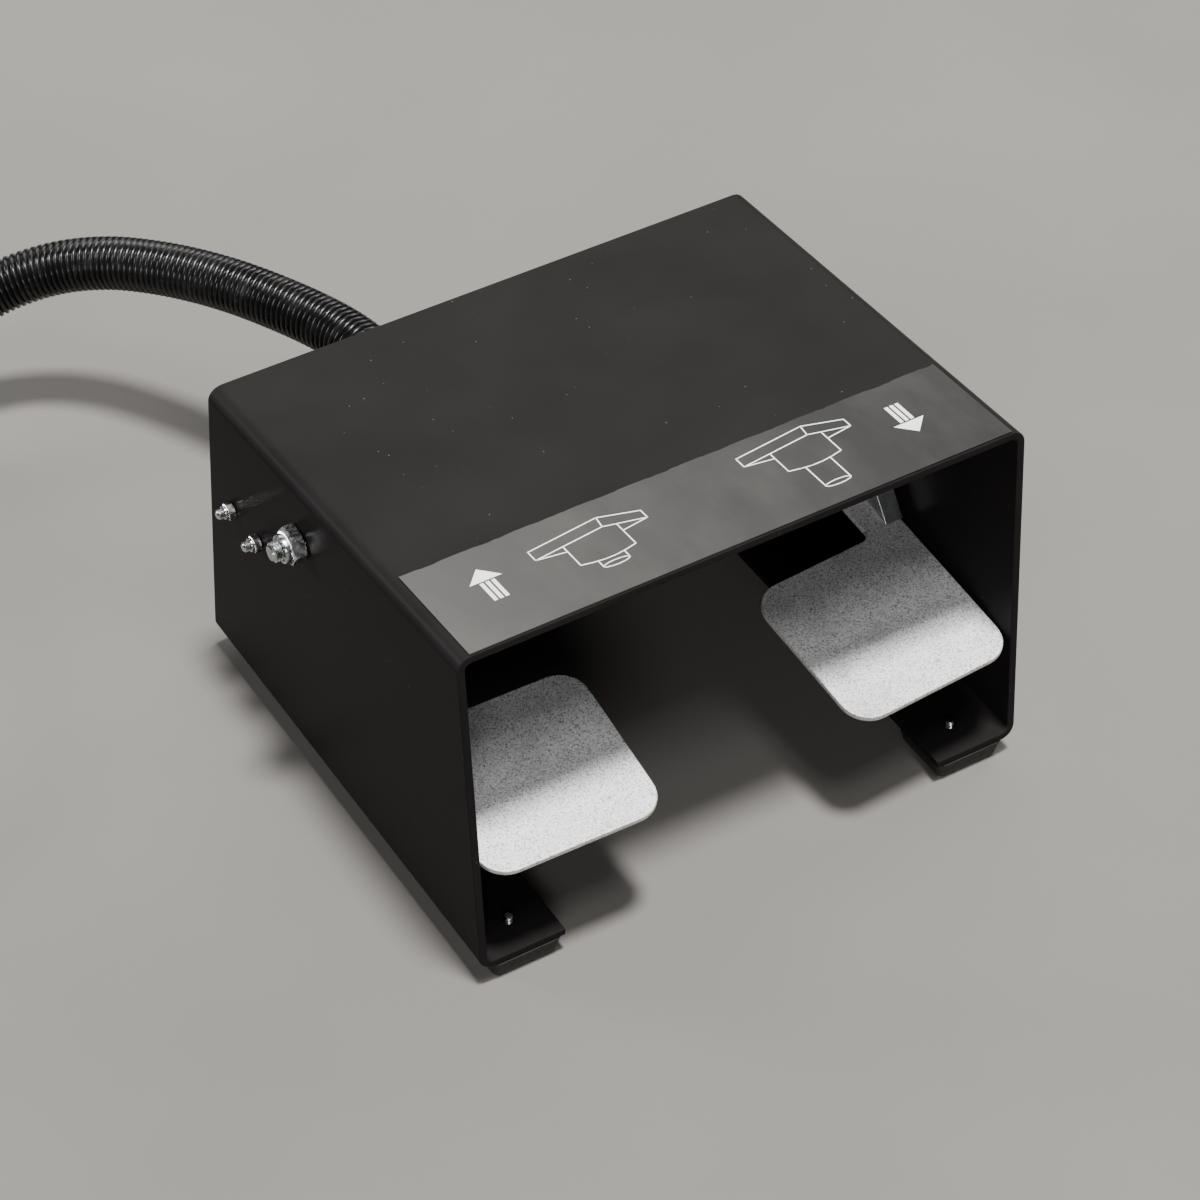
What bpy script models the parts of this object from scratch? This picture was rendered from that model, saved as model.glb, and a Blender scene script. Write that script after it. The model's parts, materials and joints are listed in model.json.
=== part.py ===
"""Twin foot control under a folded steel guard, for the up and down strokes of a press.

Metres, +Z up. The origin is on the floor under the middle of the control; +X is the operator's
right and -Y the open front. Each pedal hangs from the pivot axle and moves as one body.
"""

import math

import bmesh
import bpy
from mathutils import Matrix, Vector

# Driving dimensions
GAP = 0.0003  # clearance between pieces that touch
WELD = 0.00001  # points closer than this are one

COVER_WIDTH = 0.300
COVER_DEPTH = 0.2685  # along the floor
COVER_BOTTOM = 0.010  # the feet lift the steel this high
FRONT_HEIGHT = 0.1862
BACK_HEIGHT = 0.1688
FRONT_LEAN = 0.0137  # the front edge leans back by this much at the top
BACK_LEAN = 0.0166  # the back edge leans forward by this much at the top
STEEL = 0.004
BEND_RADIUS = 0.0075
FLANGE_WIDTH = 0.0454

LABEL_SIZE = (0.286, 0.0635, 0.0005)
LABEL_INSET = 0.0008  # from the guard's front edge

PANEL_SIZE = (0.2908, 0.002, 0.1585)
PANEL_INSET = 0.004  # from the guard's back edge
PANEL_LIP = (0.280, 0.042, 0.002)

PIVOT = Vector((0.0, 0.028, 0.151))
AXLE_RADIUS = 0.005
AXLE_HALF = 0.1655
AXLE_NUT = (0.017, 0.0070, 0.0032)  # across flats, height and collar
SPACER_RADIUS, SPACER_HALF = 0.0075, 0.1292

PLATE_WIDTH = 0.0935
PLATE_LENGTH = 0.090
PLATE_THICK = 0.003
PLATE_CORNER = 0.015
PLATE_CENTRE = Vector((0.0968, -0.0925, 0.0775))  # of the top face; X is mirrored on the left
PLATE_TILT = math.radians(10)
PLATE_YAW = {"left": math.radians(-1.0), "right": math.radians(3.5)}
TAIL_WIDTH = 0.0205
TAIL_LENGTH = 0.050
TAIL_CORNER, TAIL_ROOT = 0.004, 0.005

LEVER_X = 0.1365
LEVER_THICK = 0.010
HUB_RADIUS = 0.018
BUSH_RADIUS = 0.008
BUSH_ENDS = (0.1295, 0.1457)

HOLE_RADIUS = 0.0028  # for every 5 mm screw
SCREW_RADIUS = 0.0025
SWITCH_HOLES = ((0.073, 0.1165), (0.100, 0.1165))  # (Y, Z) of the wall bolts
SWITCH_X = 0.1344
SWITCH_SIZE = (0.018, 0.050, 0.025)
SWITCH_NUT = (0.0082, 0.0034, 0.0016)  # across flats, height and collar
NECK_RADIUS, NECK_LENGTH = 0.006, 0.005
PLUNGER_RADIUS = 0.003
PLUNGER_TIP, PLUNGER_END = 0.0503, 0.0605
BRACKET_THICK = 0.002
BRACKET_X = 0.1447
BRACKET_INNER = 0.1275  # how near to the middle its two shelves reach
BUMPER_Y = 0.063
SPRING_Y = 0.061
SPRING_LOW, SPRING_HIGH = 0.1483, 0.1717
SPRING_RADIUS = 0.0048
SPRING_WIRE = 0.0007
SPRING_TURNS = 6
LEAD_RADIUS = 0.0025

FOOT_PLACES = {"front": -0.1156, "rear": 0.105}
FOOT_X = 0.1248
FOOT_TOP, FOOT_BOTTOM = 0.038, 0.034
SCREW_TIP = {"front": 0.0170, "rear": 0.0190}  # the rear screws hold the panel's lip as well

GLAND_X, GLAND_Z = -0.036, 0.1140
GLAND_REAR = 0.13881
GLAND_THREAD = 0.0122
GLAND_NUT = (0.030, 0.005)  # across flats and height

CONDUIT_RADIUS = 0.01425
COIL_CENTRE = Vector((-0.412, 0.2195, 0.0))
COIL_RADIUS = 0.1425
TAIL_BEND = 0.114  # radius of the loose end inside the coil
TAIL_TURN = 122  # degrees of the loose end
FITTING_HEIGHT = 0.0190
FITTING_NUT = (0.031, 0.005)  # across flats and height
# The hose leaves the gland, sags to the floor and runs on to the coil.
HOSE_ROUTE = [
    (-0.0360, 0.1375, 0.1157), (-0.0360, 0.1480, 0.1167), (-0.0373, 0.1650, 0.1172),
    (-0.0415, 0.1895, 0.1163), (-0.0485, 0.2133, 0.1145), (-0.0570, 0.2370, 0.1120),
    (-0.0665, 0.2605, 0.1090), (-0.0775, 0.2840, 0.1050), (-0.0905, 0.3072, 0.1002),
    (-0.1065, 0.3300, 0.0942), (-0.1268, 0.3488, 0.0868), (-0.1508, 0.3606, 0.0783),
    (-0.1780, 0.3652, 0.0690), (-0.2065, 0.3653, 0.0588), (-0.2350, 0.3642, 0.0485),
    (-0.2640, 0.3632, 0.0385), (-0.2930, 0.3624, 0.0295), (-0.3170, 0.3620, 0.0231),
]

SIDES = (("left", -1), ("right", 1))
PARTS = bpy.data.collections.new("twin_foot_control")
CUTTERS = bpy.data.collections.new("cutters")


def start_scene():
    for item in list(bpy.data.objects):
        bpy.data.objects.remove(item, do_unlink=True)
    bpy.context.scene.collection.children.link(PARTS)
    bpy.context.scene.collection.children.link(CUTTERS)


# --- Finishes ---


def material(name, rgb, roughness, metallic=0.0):
    made = bpy.data.materials.get(name)
    if made is None:
        made = bpy.data.materials.new(name)
        made.use_nodes = True
        shader = made.node_tree.nodes["Principled BSDF"]
        shader.inputs["Base Color"].default_value = (*rgb, 1.0)
        shader.inputs["Roughness"].default_value = roughness
        shader.inputs["Metallic"].default_value = metallic
    return made


def black_paint():
    return material("black_powder_coat", (0.012, 0.012, 0.013), 0.45)


def grey_laminate():
    return material("grey_laminate", (0.12, 0.12, 0.12), 0.4)


def pedal_paint():
    return material("silver_metallic_paint", (0.42, 0.42, 0.41), 0.42, 0.75)


def zinc():
    return material("bright_zinc", (0.62, 0.63, 0.64), 0.28, 1.0)


def bronze():
    return material("bronze_bush", (0.45, 0.30, 0.14), 0.4, 1.0)


def brass():
    return material("brass_plunger", (0.55, 0.40, 0.16), 0.35, 1.0)


def spring_steel():
    return material("spring_steel", (0.35, 0.35, 0.36), 0.3, 1.0)


def rubber():
    return material("black_rubber", (0.015, 0.015, 0.015), 0.8)


def hose_plastic():
    return material("black_hose_plastic", (0.01, 0.01, 0.01), 0.25)


def moulded_plastic():
    return material("black_moulding", (0.02, 0.02, 0.022), 0.5)


# --- Making shapes ---


def add(name, mesh, finish, parent=None, at=(0, 0, 0)):
    """An object for one sub-part, with its parent empty's place taken off its own."""
    item = bpy.data.objects.new(name, mesh)
    PARTS.objects.link(item)
    mesh.materials.clear()
    mesh.materials.append(finish)
    item.location = Vector(at)
    if parent is not None:
        item.parent = parent
        item.location = Vector(at) - parent.location
    return item


def body_empty(name, at):
    empty = bpy.data.objects.new(name, None)
    empty.location = at
    PARTS.objects.link(empty)
    return empty


def mesh_from(bm, name):
    bmesh.ops.recalc_face_normals(bm, faces=bm.faces)
    mesh = bpy.data.meshes.new(name)
    bm.to_mesh(mesh)
    bm.free()
    return mesh


def finished_mesh(pattern, name, turn=None):
    """The welded mesh of a curve or of a profile with its modifier; the pattern itself is removed."""
    PARTS.objects.link(pattern)
    bpy.context.view_layer.update()
    mesh = bpy.data.meshes.new_from_object(pattern.evaluated_get(bpy.context.evaluated_depsgraph_get()))
    bpy.data.objects.remove(pattern)
    bm = bmesh.new()
    bm.from_mesh(mesh)
    bmesh.ops.remove_doubles(bm, verts=bm.verts, dist=WELD)
    bmesh.ops.rotate(bm, verts=bm.verts, cent=(0, 0, 0), matrix=turn or Matrix.Identity(3))
    return mesh_from(bm, name)


def smooth(item, angle=35):
    item.data.shade_smooth()
    item.data.set_sharp_from_angle(angle=math.radians(angle))
    return item


def block_mesh(size, bevel=0.0, segments=2):
    bm = bmesh.new()
    bmesh.ops.create_cube(bm, size=1.0)
    bmesh.ops.scale(bm, vec=Vector(size), verts=bm.verts)
    if bevel:
        bmesh.ops.bevel(bm, geom=list(bm.edges), offset=bevel, segments=segments, affect="EDGES",
                        profile=0.5)
    return mesh_from(bm, "block")


def axis_turn(axis):
    """The turn that lays a body made along +Z along the axis named."""
    degrees, around = {"Z": (0, "X"), "X": (90, "Y"), "-X": (-90, "Y"), "Y": (-90, "X")}[axis]
    return Matrix.Rotation(math.radians(degrees), 3, around)


def turned_mesh(profile, sides=32, axis="Z"):
    """A body of revolution from (radius, height) points that go out at the low end and up outside.

    A profile that starts on the axis is solid; one that starts off it goes round a ring's section.
    """
    bm = bmesh.new()
    points = [bm.verts.new((radius, 0, height)) for radius, height in reversed(profile)]
    for upper, lower in zip(points, points[1:]):
        bm.edges.new((upper, lower))
    if profile[0][0] > 0:
        bm.edges.new((points[-1], points[0]))
    mesh = bpy.data.meshes.new("profile")
    bm.to_mesh(mesh)
    bm.free()
    pattern = bpy.data.objects.new("profile", mesh)
    lathe = pattern.modifiers.new("lathe", "SCREW")
    lathe.steps = lathe.render_steps = sides
    lathe.use_merge_vertices = True
    lathe.merge_threshold = WELD
    return finished_mesh(pattern, "turned", axis_turn(axis))


def flat_mesh(outline, thickness, upright=True):
    """A flat plate from an outline, its thickness centred; an upright one's outline is in (Y, Z)."""
    curve = bpy.data.curves.new("outline", "CURVE")
    curve.dimensions = "2D"
    curve.fill_mode = "BOTH"
    curve.extrude = thickness / 2
    spline = curve.splines.new("POLY")
    spline.points.add(len(outline) - 1)
    for point, place in zip(spline.points, outline):
        point.co = (*place, 0.0, 1.0)
    spline.use_cyclic_u = True
    stand_up = Matrix(((0, 0, 1), (1, 0, 0), (0, 1, 0)))
    return finished_mesh(bpy.data.objects.new("outline", curve), "plate", stand_up if upright else None)


def swept(name, points, radius, finish, at=(0, 0, 0), resolution=3):
    """A round bar along a POLY spline, as a welded mesh."""
    curve = bpy.data.curves.new(name, "CURVE")
    curve.dimensions = "3D"
    curve.bevel_depth = radius
    curve.bevel_resolution = resolution
    curve.use_fill_caps = True
    spline = curve.splines.new("POLY")
    spline.points.add(len(points) - 1)
    for point, place in zip(spline.points, points):
        point.co = (*place, 1.0)
    mesh = finished_mesh(bpy.data.objects.new(f"{name}_guide", curve), name)
    return smooth(add(name, mesh, finish, at=at), 50)


def arc(centre, radius, start, end, steps=6):
    turns = [math.radians(start + (end - start) * k / steps) for k in range(steps + 1)]
    return [(centre[0] + radius * math.cos(a), centre[1] + radius * math.sin(a)) for a in turns]


def hex_nut_mesh(across_flats, height, collar, bore, axis):
    """A turned blank with chamfered ends, cut flat on six sides; a collar makes it a lock nut."""
    flat, corner, half = across_flats / 2, across_flats / math.sqrt(3), height / 2
    profile = [(bore, -half), (flat * 0.97, -half), (corner, -half * 0.8), (corner, half * 0.8),
               (flat * 0.97, half)]
    if collar:
        profile += [(flat * 0.86, half), (flat * 0.86, half + collar * 0.7), (flat * 0.72, half + collar)]
    profile.append((bore, half + collar))
    bm = bmesh.new()
    bm.from_mesh(turned_mesh(profile, 24))
    for k in range(6):
        angle = math.radians(30 + 60 * k)
        outward = Vector((math.cos(angle), math.sin(angle), 0))
        sliced = bmesh.ops.bisect_plane(bm, geom=[*bm.verts, *bm.edges, *bm.faces], dist=WELD / 10,
                                        plane_co=outward * flat, plane_no=outward, clear_outer=True)
        rim = [e for e in sliced["geom_cut"] if isinstance(e, bmesh.types.BMEdge)]
        bmesh.ops.contextual_create(bm, geom=rim)
    bmesh.ops.rotate(bm, verts=bm.verts, cent=(0, 0, 0), matrix=axis_turn(axis))
    return mesh_from(bm, "nut")


# --- Cutting and joining ---


def cutter(name, mesh, at):
    item = bpy.data.objects.new(name, mesh)
    item.location = at
    item.hide_render = True
    item.display_type = "WIRE"
    CUTTERS.objects.link(item)
    return item


def drill(name, radius, length, axis, at, sides=24):
    half = length / 2
    profile = [(0, -half), (radius, -half), (radius, half), (0, half)]
    return cutter(name, turned_mesh(profile, sides, axis), at)


def boolean(item, other, operation="DIFFERENCE"):
    step = item.modifiers.new(f"{operation.lower()}_{other.name}", "BOOLEAN")
    step.operation = operation
    step.solver = "EXACT"
    step.object = other


def joined(item, mesh, name, at):
    """Joins another closed shape onto item with a Boolean union."""
    boolean(item, cutter(name, mesh, at), "UNION")


def drill_for_screws():
    """The drills for the screw holes that go through several pieces."""
    for k, (y, z) in enumerate(SWITCH_HOLES):
        drill(f"switch_holes_{k}", HOLE_RADIUS, COVER_WIDTH + 0.02, "X", (0, y, z), 16)
    for end, y in FOOT_PLACES.items():
        for side, sign in SIDES:
            drill(f"foot_hole_{end}_{side}", HOLE_RADIUS, 0.04, "Z", (sign * FOOT_X, y, 0.02), 16)


# --- The guard: one folded steel sheet, with its floor flanges, label, feet and rear panel ---


def top_height(y):
    """Height of the guard's top face at depth y."""
    front = -COVER_DEPTH / 2 + FRONT_LEAN
    back = COVER_DEPTH / 2 - BACK_LEAN
    share = (y - front) / (back - front)
    return COVER_BOTTOM + FRONT_HEIGHT + share * (BACK_HEIGHT - FRONT_HEIGHT)


TOP_SLOPE = math.atan2(FRONT_HEIGHT - BACK_HEIGHT, COVER_DEPTH - FRONT_LEAN - BACK_LEAN)
BACK_SLOPE = math.atan2(BACK_LEAN, BACK_HEIGHT)


def cover_section(height):
    """Outer line of the C-section from the left flange's inner edge round to the right one."""
    half, low, high = COVER_WIDTH / 2, COVER_BOTTOM, COVER_BOTTOM + height
    r = BEND_RADIUS
    left = [(-half + FLANGE_WIDTH, low)]
    left += arc((-half + r, low + r), r, 270, 180)
    left += arc((-half + r, high - r), r, 180, 90)
    return left + [(-x, z) for x, z in reversed(left)]


def cover_shell():
    """Its front and back sections differ in height and lean, so the sheet is lofted between them."""
    bm = bmesh.new()
    rings = []
    ends = ((-COVER_DEPTH / 2, FRONT_HEIGHT, FRONT_LEAN), (COVER_DEPTH / 2, BACK_HEIGHT, -BACK_LEAN))
    for foot, height, lean in ends:
        line = cover_section(height)
        rings.append([bm.verts.new((x, foot + lean * (z - COVER_BOTTOM) / height, z)) for x, z in line])
    front, back = rings
    for k in range(len(front) - 1):
        bm.faces.new((front[k], front[k + 1], back[k + 1], back[k]))
    top = max(bm.faces, key=lambda f: f.calc_center_median().z)
    top.normal_update()
    if top.normal.z < 0:
        bmesh.ops.reverse_faces(bm, faces=bm.faces)
    mesh = bpy.data.meshes.new("cover_shell")
    bm.to_mesh(mesh)
    bm.free()
    shell = add("cover_shell", mesh, black_paint())
    wall = shell.modifiers.new("steel", "SOLIDIFY")
    wall.thickness = STEEL
    wall.offset = -1.0
    wall.use_even_offset = True
    boolean(shell, drill("axle_holes", AXLE_RADIUS + GAP, COVER_WIDTH + 0.02, "X", PIVOT))
    for k in range(len(SWITCH_HOLES)):
        boolean(shell, bpy.data.objects[f"switch_holes_{k}"])
    for end in FOOT_PLACES:
        for side, _ in SIDES:
            boolean(shell, bpy.data.objects[f"foot_hole_{end}_{side}"])


def front_label():
    """The grey laminate across the front of the top."""
    _, depth, thick = LABEL_SIZE
    middle = -COVER_DEPTH / 2 + FRONT_LEAN + LABEL_INSET + math.cos(TOP_SLOPE) * depth / 2
    label = add("front_label", block_mesh(LABEL_SIZE), grey_laminate(),
                at=(0, middle, top_height(middle) + GAP + thick / 2))
    label.rotation_euler = (-TOP_SLOPE, 0, 0)


def rear_panel():
    """Closes the back: it leans with the guard's back edge and stands on the two floor flanges."""
    width, thick, height = PANEL_SIZE
    clear = 0.0002  # keeps the leaning sheet's lower corner off the flanges
    notch = 0.0085  # each corner is cut out round the guard's bends
    lip_start = 0.0009  # the lip begins inside the sheet
    foot_y = COVER_DEPTH / 2 - PANEL_INSET - thick / 2 - clear
    bottom = COVER_BOTTOM + STEEL + GAP
    sine, cosine = math.sin(BACK_SLOPE), math.cos(BACK_SLOPE)
    panel = add("rear_panel", block_mesh(PANEL_SIZE), black_paint(),
                at=(0, foot_y - height / 2 * sine, bottom + height / 2 * cosine + clear))
    panel.rotation_euler = (BACK_SLOPE, 0, 0)
    for side, sign in SIDES:
        for level, edge in (("low", -height / 2), ("high", height / 2)):
            offset = Vector((sign * (width / 2 + 0.0005), -sine * edge, cosine * edge))
            corner = cutter(f"panel_corner_{level}_{side}", block_mesh((notch, 0.02, notch)),
                            panel.location + offset)
            corner.rotation_euler = (BACK_SLOPE, 0, 0)
            boolean(panel, corner)
    joined(panel, block_mesh(PANEL_LIP), "panel_lip",
           (0, foot_y - PANEL_LIP[1] / 2 + lip_start, bottom + PANEL_LIP[2] / 2))
    for side, _ in SIDES:
        boolean(panel, bpy.data.objects[f"foot_hole_rear_{side}"])
    boolean(panel, drill("gland_hole", GLAND_THREAD + 0.0004, 0.03, "Y", gland_point(0.0)))


def gland_point(along):
    """A point on the gland's axis, measured outwards from the rear panel's outer face."""
    outer_y = COVER_DEPTH / 2 - PANEL_INSET - (GLAND_Z - COVER_BOTTOM) * math.tan(BACK_SLOPE)
    return Vector((GLAND_X, outer_y + along * math.cos(BACK_SLOPE), GLAND_Z + along * math.sin(BACK_SLOPE)))


def conduit_gland():
    """A body outside the rear panel, its thread through the panel and a locknut behind."""
    bore, flange, sleeve, inside = 0.0095, 0.0185, 0.0168, 0.011
    length = (GLAND_REAR - gland_point(0).y - 0.0175 * math.sin(BACK_SLOPE)) / math.cos(BACK_SLOPE)
    profile = [(bore, -inside), (GLAND_THREAD, -inside), (GLAND_THREAD, GAP), (flange, GAP), (flange, 0.007),
               (sleeve, 0.0085), (sleeve, length - 0.001), (sleeve - 0.001, length), (bore, length)]
    body = add("conduit_gland", turned_mesh(profile, 36, "Y"), moulded_plastic(), at=gland_point(0))
    body.rotation_euler = (BACK_SLOPE, 0, 0)
    smooth(body)
    nut = add("gland_locknut", hex_nut_mesh(*GLAND_NUT, 0.0, GLAND_THREAD + GAP, "Y"), zinc(),
              at=gland_point(-0.0090))
    nut.rotation_euler = (BACK_SLOPE, 0, 0)


def foot_mesh(height):
    """A square block that tapers towards the floor, with rounded upright edges."""
    bm = bmesh.new()
    bmesh.ops.create_cone(bm, cap_ends=True, segments=4, radius1=FOOT_BOTTOM / math.sqrt(2),
                          radius2=FOOT_TOP / math.sqrt(2), depth=height)
    bmesh.ops.rotate(bm, verts=bm.verts, cent=(0, 0, 0), matrix=Matrix.Rotation(math.radians(45), 3, "Z"))
    upright = [e for e in bm.edges if abs(e.verts[0].co.z - e.verts[1].co.z) > height / 2]
    bmesh.ops.bevel(bm, geom=upright, offset=0.004, segments=3, affect="EDGES", profile=0.5)
    return mesh_from(bm, "foot")


def feet():
    """Rubber feet, each with a recess for the head of the screw that holds it."""
    height = COVER_BOTTOM - GAP
    head_low, head_high, head_radius = 0.0022, 0.0050, 0.0048
    for end, y in FOOT_PLACES.items():
        for side, sign in SIDES:
            foot = add(f"foot_{end}_{side}", foot_mesh(height), rubber(), at=(sign * FOOT_X, y, height / 2))
            boolean(foot, bpy.data.objects[f"foot_hole_{end}_{side}"])
            boolean(foot, drill(f"foot_recess_{end}_{side}", 0.0055, 0.0106, "Z", (sign * FOOT_X, y, 0.0)))
            tip = SCREW_TIP[end]
            profile = [(0, head_low), (0.0040, head_low), (head_radius, 0.0030), (head_radius, head_high),
                       (SCREW_RADIUS, head_high), (SCREW_RADIUS, tip - 0.0006), (0.0019, tip), (0, tip)]
            smooth(add(f"foot_screw_{end}_{side}", turned_mesh(profile, 20), zinc(),
                       at=(sign * FOOT_X, y, 0)))


# --- The pivot: one axle through both walls ---


def pivot_axle():
    bevel, bore = 0.001, AXLE_RADIUS + GAP
    profile = [(0, -AXLE_HALF), (AXLE_RADIUS - bevel, -AXLE_HALF), (AXLE_RADIUS, -AXLE_HALF + bevel),
               (AXLE_RADIUS, AXLE_HALF - bevel), (AXLE_RADIUS - bevel, AXLE_HALF), (0, AXLE_HALF)]
    smooth(add("pivot_axle", turned_mesh(profile, 24, "X"), zinc(), at=PIVOT))
    section = [(bore, -SPACER_HALF), (SPACER_RADIUS, -SPACER_HALF), (SPACER_RADIUS, SPACER_HALF),
               (bore, SPACER_HALF)]
    smooth(add("axle_spacer", turned_mesh(section, 24, "X"), zinc(), at=PIVOT))
    for side, sign in SIDES:
        add(f"axle_nut_{side}", hex_nut_mesh(*AXLE_NUT, bore, "-X" if sign < 0 else "X"), zinc(),
            at=(sign * (COVER_WIDTH / 2 + GAP + AXLE_NUT[1] / 2), PIVOT.y, PIVOT.z))


# --- One pedal: foot plate with its tail, lever and bush, hung from the axle ---


def plate_outline(yaw, sign):
    """Plan of the plate's top face about its middle: rounded corners, with the tail on the outer side."""
    half_w, half_l, r = PLATE_WIDTH / 2, PLATE_LENGTH / 2, PLATE_CORNER
    inner, back = half_w - TAIL_WIDTH, half_l + TAIL_LENGTH
    line = arc((half_w - r, -half_l + r), r, -90, 0)
    line += arc((half_w - TAIL_CORNER, back - TAIL_CORNER), TAIL_CORNER, 0, 90, 3)
    line += arc((inner + TAIL_CORNER, back - TAIL_CORNER), TAIL_CORNER, 90, 180, 3)
    line += arc((inner - TAIL_ROOT, half_l + TAIL_ROOT), TAIL_ROOT, 0, -90, 4)
    line += arc((-half_w + r, half_l - r), r, 90, 180)
    line += arc((-half_w + r, -half_l + r), r, 180, 270)
    cos, sin = math.cos(yaw), math.sin(yaw)
    return [(sign * x * cos - y * sin, sign * x * sin + y * cos) for x, y in line]


def pedal_plate(side, sign, pivot):
    plate = flat_mesh(plate_outline(PLATE_YAW[side], sign), PLATE_THICK, upright=False)
    item = add(f"{side}_pedal_plate", plate, pedal_paint(), pivot,
               (sign * PLATE_CENTRE.x, PLATE_CENTRE.y + math.sin(PLATE_TILT) * PLATE_THICK / 2,
                PLATE_CENTRE.z - math.cos(PLATE_TILT) * PLATE_THICK / 2))
    item.rotation_euler = (PLATE_TILT, 0, 0)


def plate_top(y):
    return PLATE_CENTRE.z + (y - PLATE_CENTRE.y) * math.tan(PLATE_TILT)


def lever(side, sign, pivot):
    """Flat bar from the tail up to the hub, with the switch striker below and the spring arm behind."""
    y0, z0 = PIVOT.y, PIVOT.z
    front, rear = -0.044, -0.010
    arm_low, arm_high, arm_end = SPRING_LOW - 0.0103, SPRING_LOW - GAP, 0.072
    striker_centre, striker_radius = (0.046, 0.108), 0.004
    line = [(front, plate_top(front) + GAP)]
    line += arc((y0, z0), HUB_RADIUS, 160, 0, 10)
    line += [(0.052, arm_high), (arm_end - 0.003, arm_high), (arm_end, arm_high - 0.003), (arm_end, arm_low)]
    line += [(0.054, arm_low), (0.050, arm_low - 0.004)]
    line += arc(striker_centre, striker_radius, 0, -180, 6)
    line += [(0.040, 0.126), (0.034, 0.130), (rear, plate_top(rear) + GAP)]
    bar = add(f"{side}_lever", flat_mesh([(y - y0, z - z0) for y, z in line], LEVER_THICK), zinc(), pivot,
              (sign * LEVER_X, y0, z0))
    boolean(bar, drill(f"{side}_hub_bore", BUSH_RADIUS + GAP, 0.04, "X", (sign * LEVER_X, y0, z0)))
    low, high = BUSH_ENDS
    section = [(AXLE_RADIUS + GAP, low), (BUSH_RADIUS, low), (BUSH_RADIUS, high), (AXLE_RADIUS + GAP, high)]
    bush = turned_mesh(section, 24, "X" if sign > 0 else "-X")
    smooth(add(f"{side}_pivot_bush", bush, bronze(), pivot, (0, y0, z0)))


# --- What hangs on each wall: bracket, rest bumper, return spring, switch and its bolts ---


def switch_bracket(side, sign):
    """A web on the wall with two shelves: one above the spring and one that stops the lever at rest."""
    line = [(0.0500, 0.1310), (0.0600, 0.1310), (0.0600, 0.1040), (0.1120, 0.1040), (0.1120, 0.1290),
            (0.0760, 0.1290), (0.0760, 0.1740), (0.0500, 0.1740)]
    web = add(f"{side}_switch_bracket", flat_mesh(line, BRACKET_THICK), zinc(), at=(sign * BRACKET_X, 0, 0))
    reach = BRACKET_X + BRACKET_THICK / 2 - BRACKET_INNER
    shelf_x = sign * (BRACKET_INNER + reach / 2)
    shelf_z = 0.1320
    for shelf, z, low, high in (("spring_seat", 0.1730, 0.0500, 0.0730),
                                ("rest_shelf", shelf_z, 0.0545, 0.0760)):
        joined(web, block_mesh((reach, high - low, BRACKET_THICK)), f"{side}_{shelf}",
               (shelf_x, (low + high) / 2, z))
    for k in range(len(SWITCH_HOLES)):
        boolean(web, bpy.data.objects[f"switch_holes_{k}"])
    boolean(web, drill(f"{side}_bumper_hole", 0.0028, 0.01, "Z", (sign * LEVER_X, BUMPER_Y, shelf_z), 16))


def rest_bumper(side, sign):
    stem, head, low, seat, high = 0.0025, 0.0045, 0.1300, 0.1333, 0.1377
    profile = [(0, low), (stem, low), (stem, seat), (head, seat), (head, high - 0.0007), (0.0038, high),
               (0, high)]
    smooth(add(f"{side}_rest_bumper", turned_mesh(profile, 20), rubber(), at=(sign * LEVER_X, BUMPER_Y, 0)))


def return_spring(side, sign):
    """Compression spring between the lever's arm and the bracket's upper seat."""
    steps = 10
    low, high = SPRING_LOW + SPRING_WIRE, SPRING_HIGH - SPRING_WIRE
    count = SPRING_TURNS * steps
    points = []
    for k in range(count + 1):
        turn = 2 * math.pi * k / steps
        share = min(max((k - steps * 0.75) / (count - 1.5 * steps), 0.0), 1.0)
        points.append((SPRING_RADIUS * math.cos(turn), SPRING_RADIUS * math.sin(turn),
                       low + (high - low) * share))
    for k in range(steps):  # the closed end turns lie beside each other
        points[k] = (*points[k][:2], low)
        points[count - k] = (*points[count - k][:2], high)
    swept(f"{side}_return_spring", points, SPRING_WIRE, spring_steel(), (sign * LEVER_X, SPRING_Y, 0), 2)


def limit_switch(side, sign):
    """Switch body with a neck for its plunger, and the plunger that slides in it."""
    (front_y, z), (rear_y, _) = SWITCH_HOLES
    middle = (front_y + rear_y) / 2
    front = middle - SWITCH_SIZE[1] / 2
    body = add(f"{side}_switch_body", block_mesh(SWITCH_SIZE, 0.001, 1), moulded_plastic(),
               at=(sign * SWITCH_X, middle, z))
    neck = [(0, -NECK_LENGTH), (NECK_RADIUS, -NECK_LENGTH), (NECK_RADIUS, 0.001), (0, 0.001)]
    joined(body, turned_mesh(neck, 24, "Y"), f"{side}_switch_neck", (sign * SWITCH_X, front, z))
    boolean(body, drill(f"{side}_plunger_bore", PLUNGER_RADIUS + GAP, 0.026, "Y",
                        (sign * SWITCH_X, front - 0.003, z), 20))
    for k in range(len(SWITCH_HOLES)):
        boolean(body, bpy.data.objects[f"switch_holes_{k}"])
    tip = PLUNGER_TIP
    profile = [(0, tip), (0.0012, tip), (0.0024, tip + 0.0008), (PLUNGER_RADIUS, tip + 0.002),
               (PLUNGER_RADIUS, PLUNGER_END), (0, PLUNGER_END)]
    smooth(add(f"{side}_switch_plunger", turned_mesh(profile, 20, "Y"), brass(), at=(sign * SWITCH_X, 0, z)))


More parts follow.
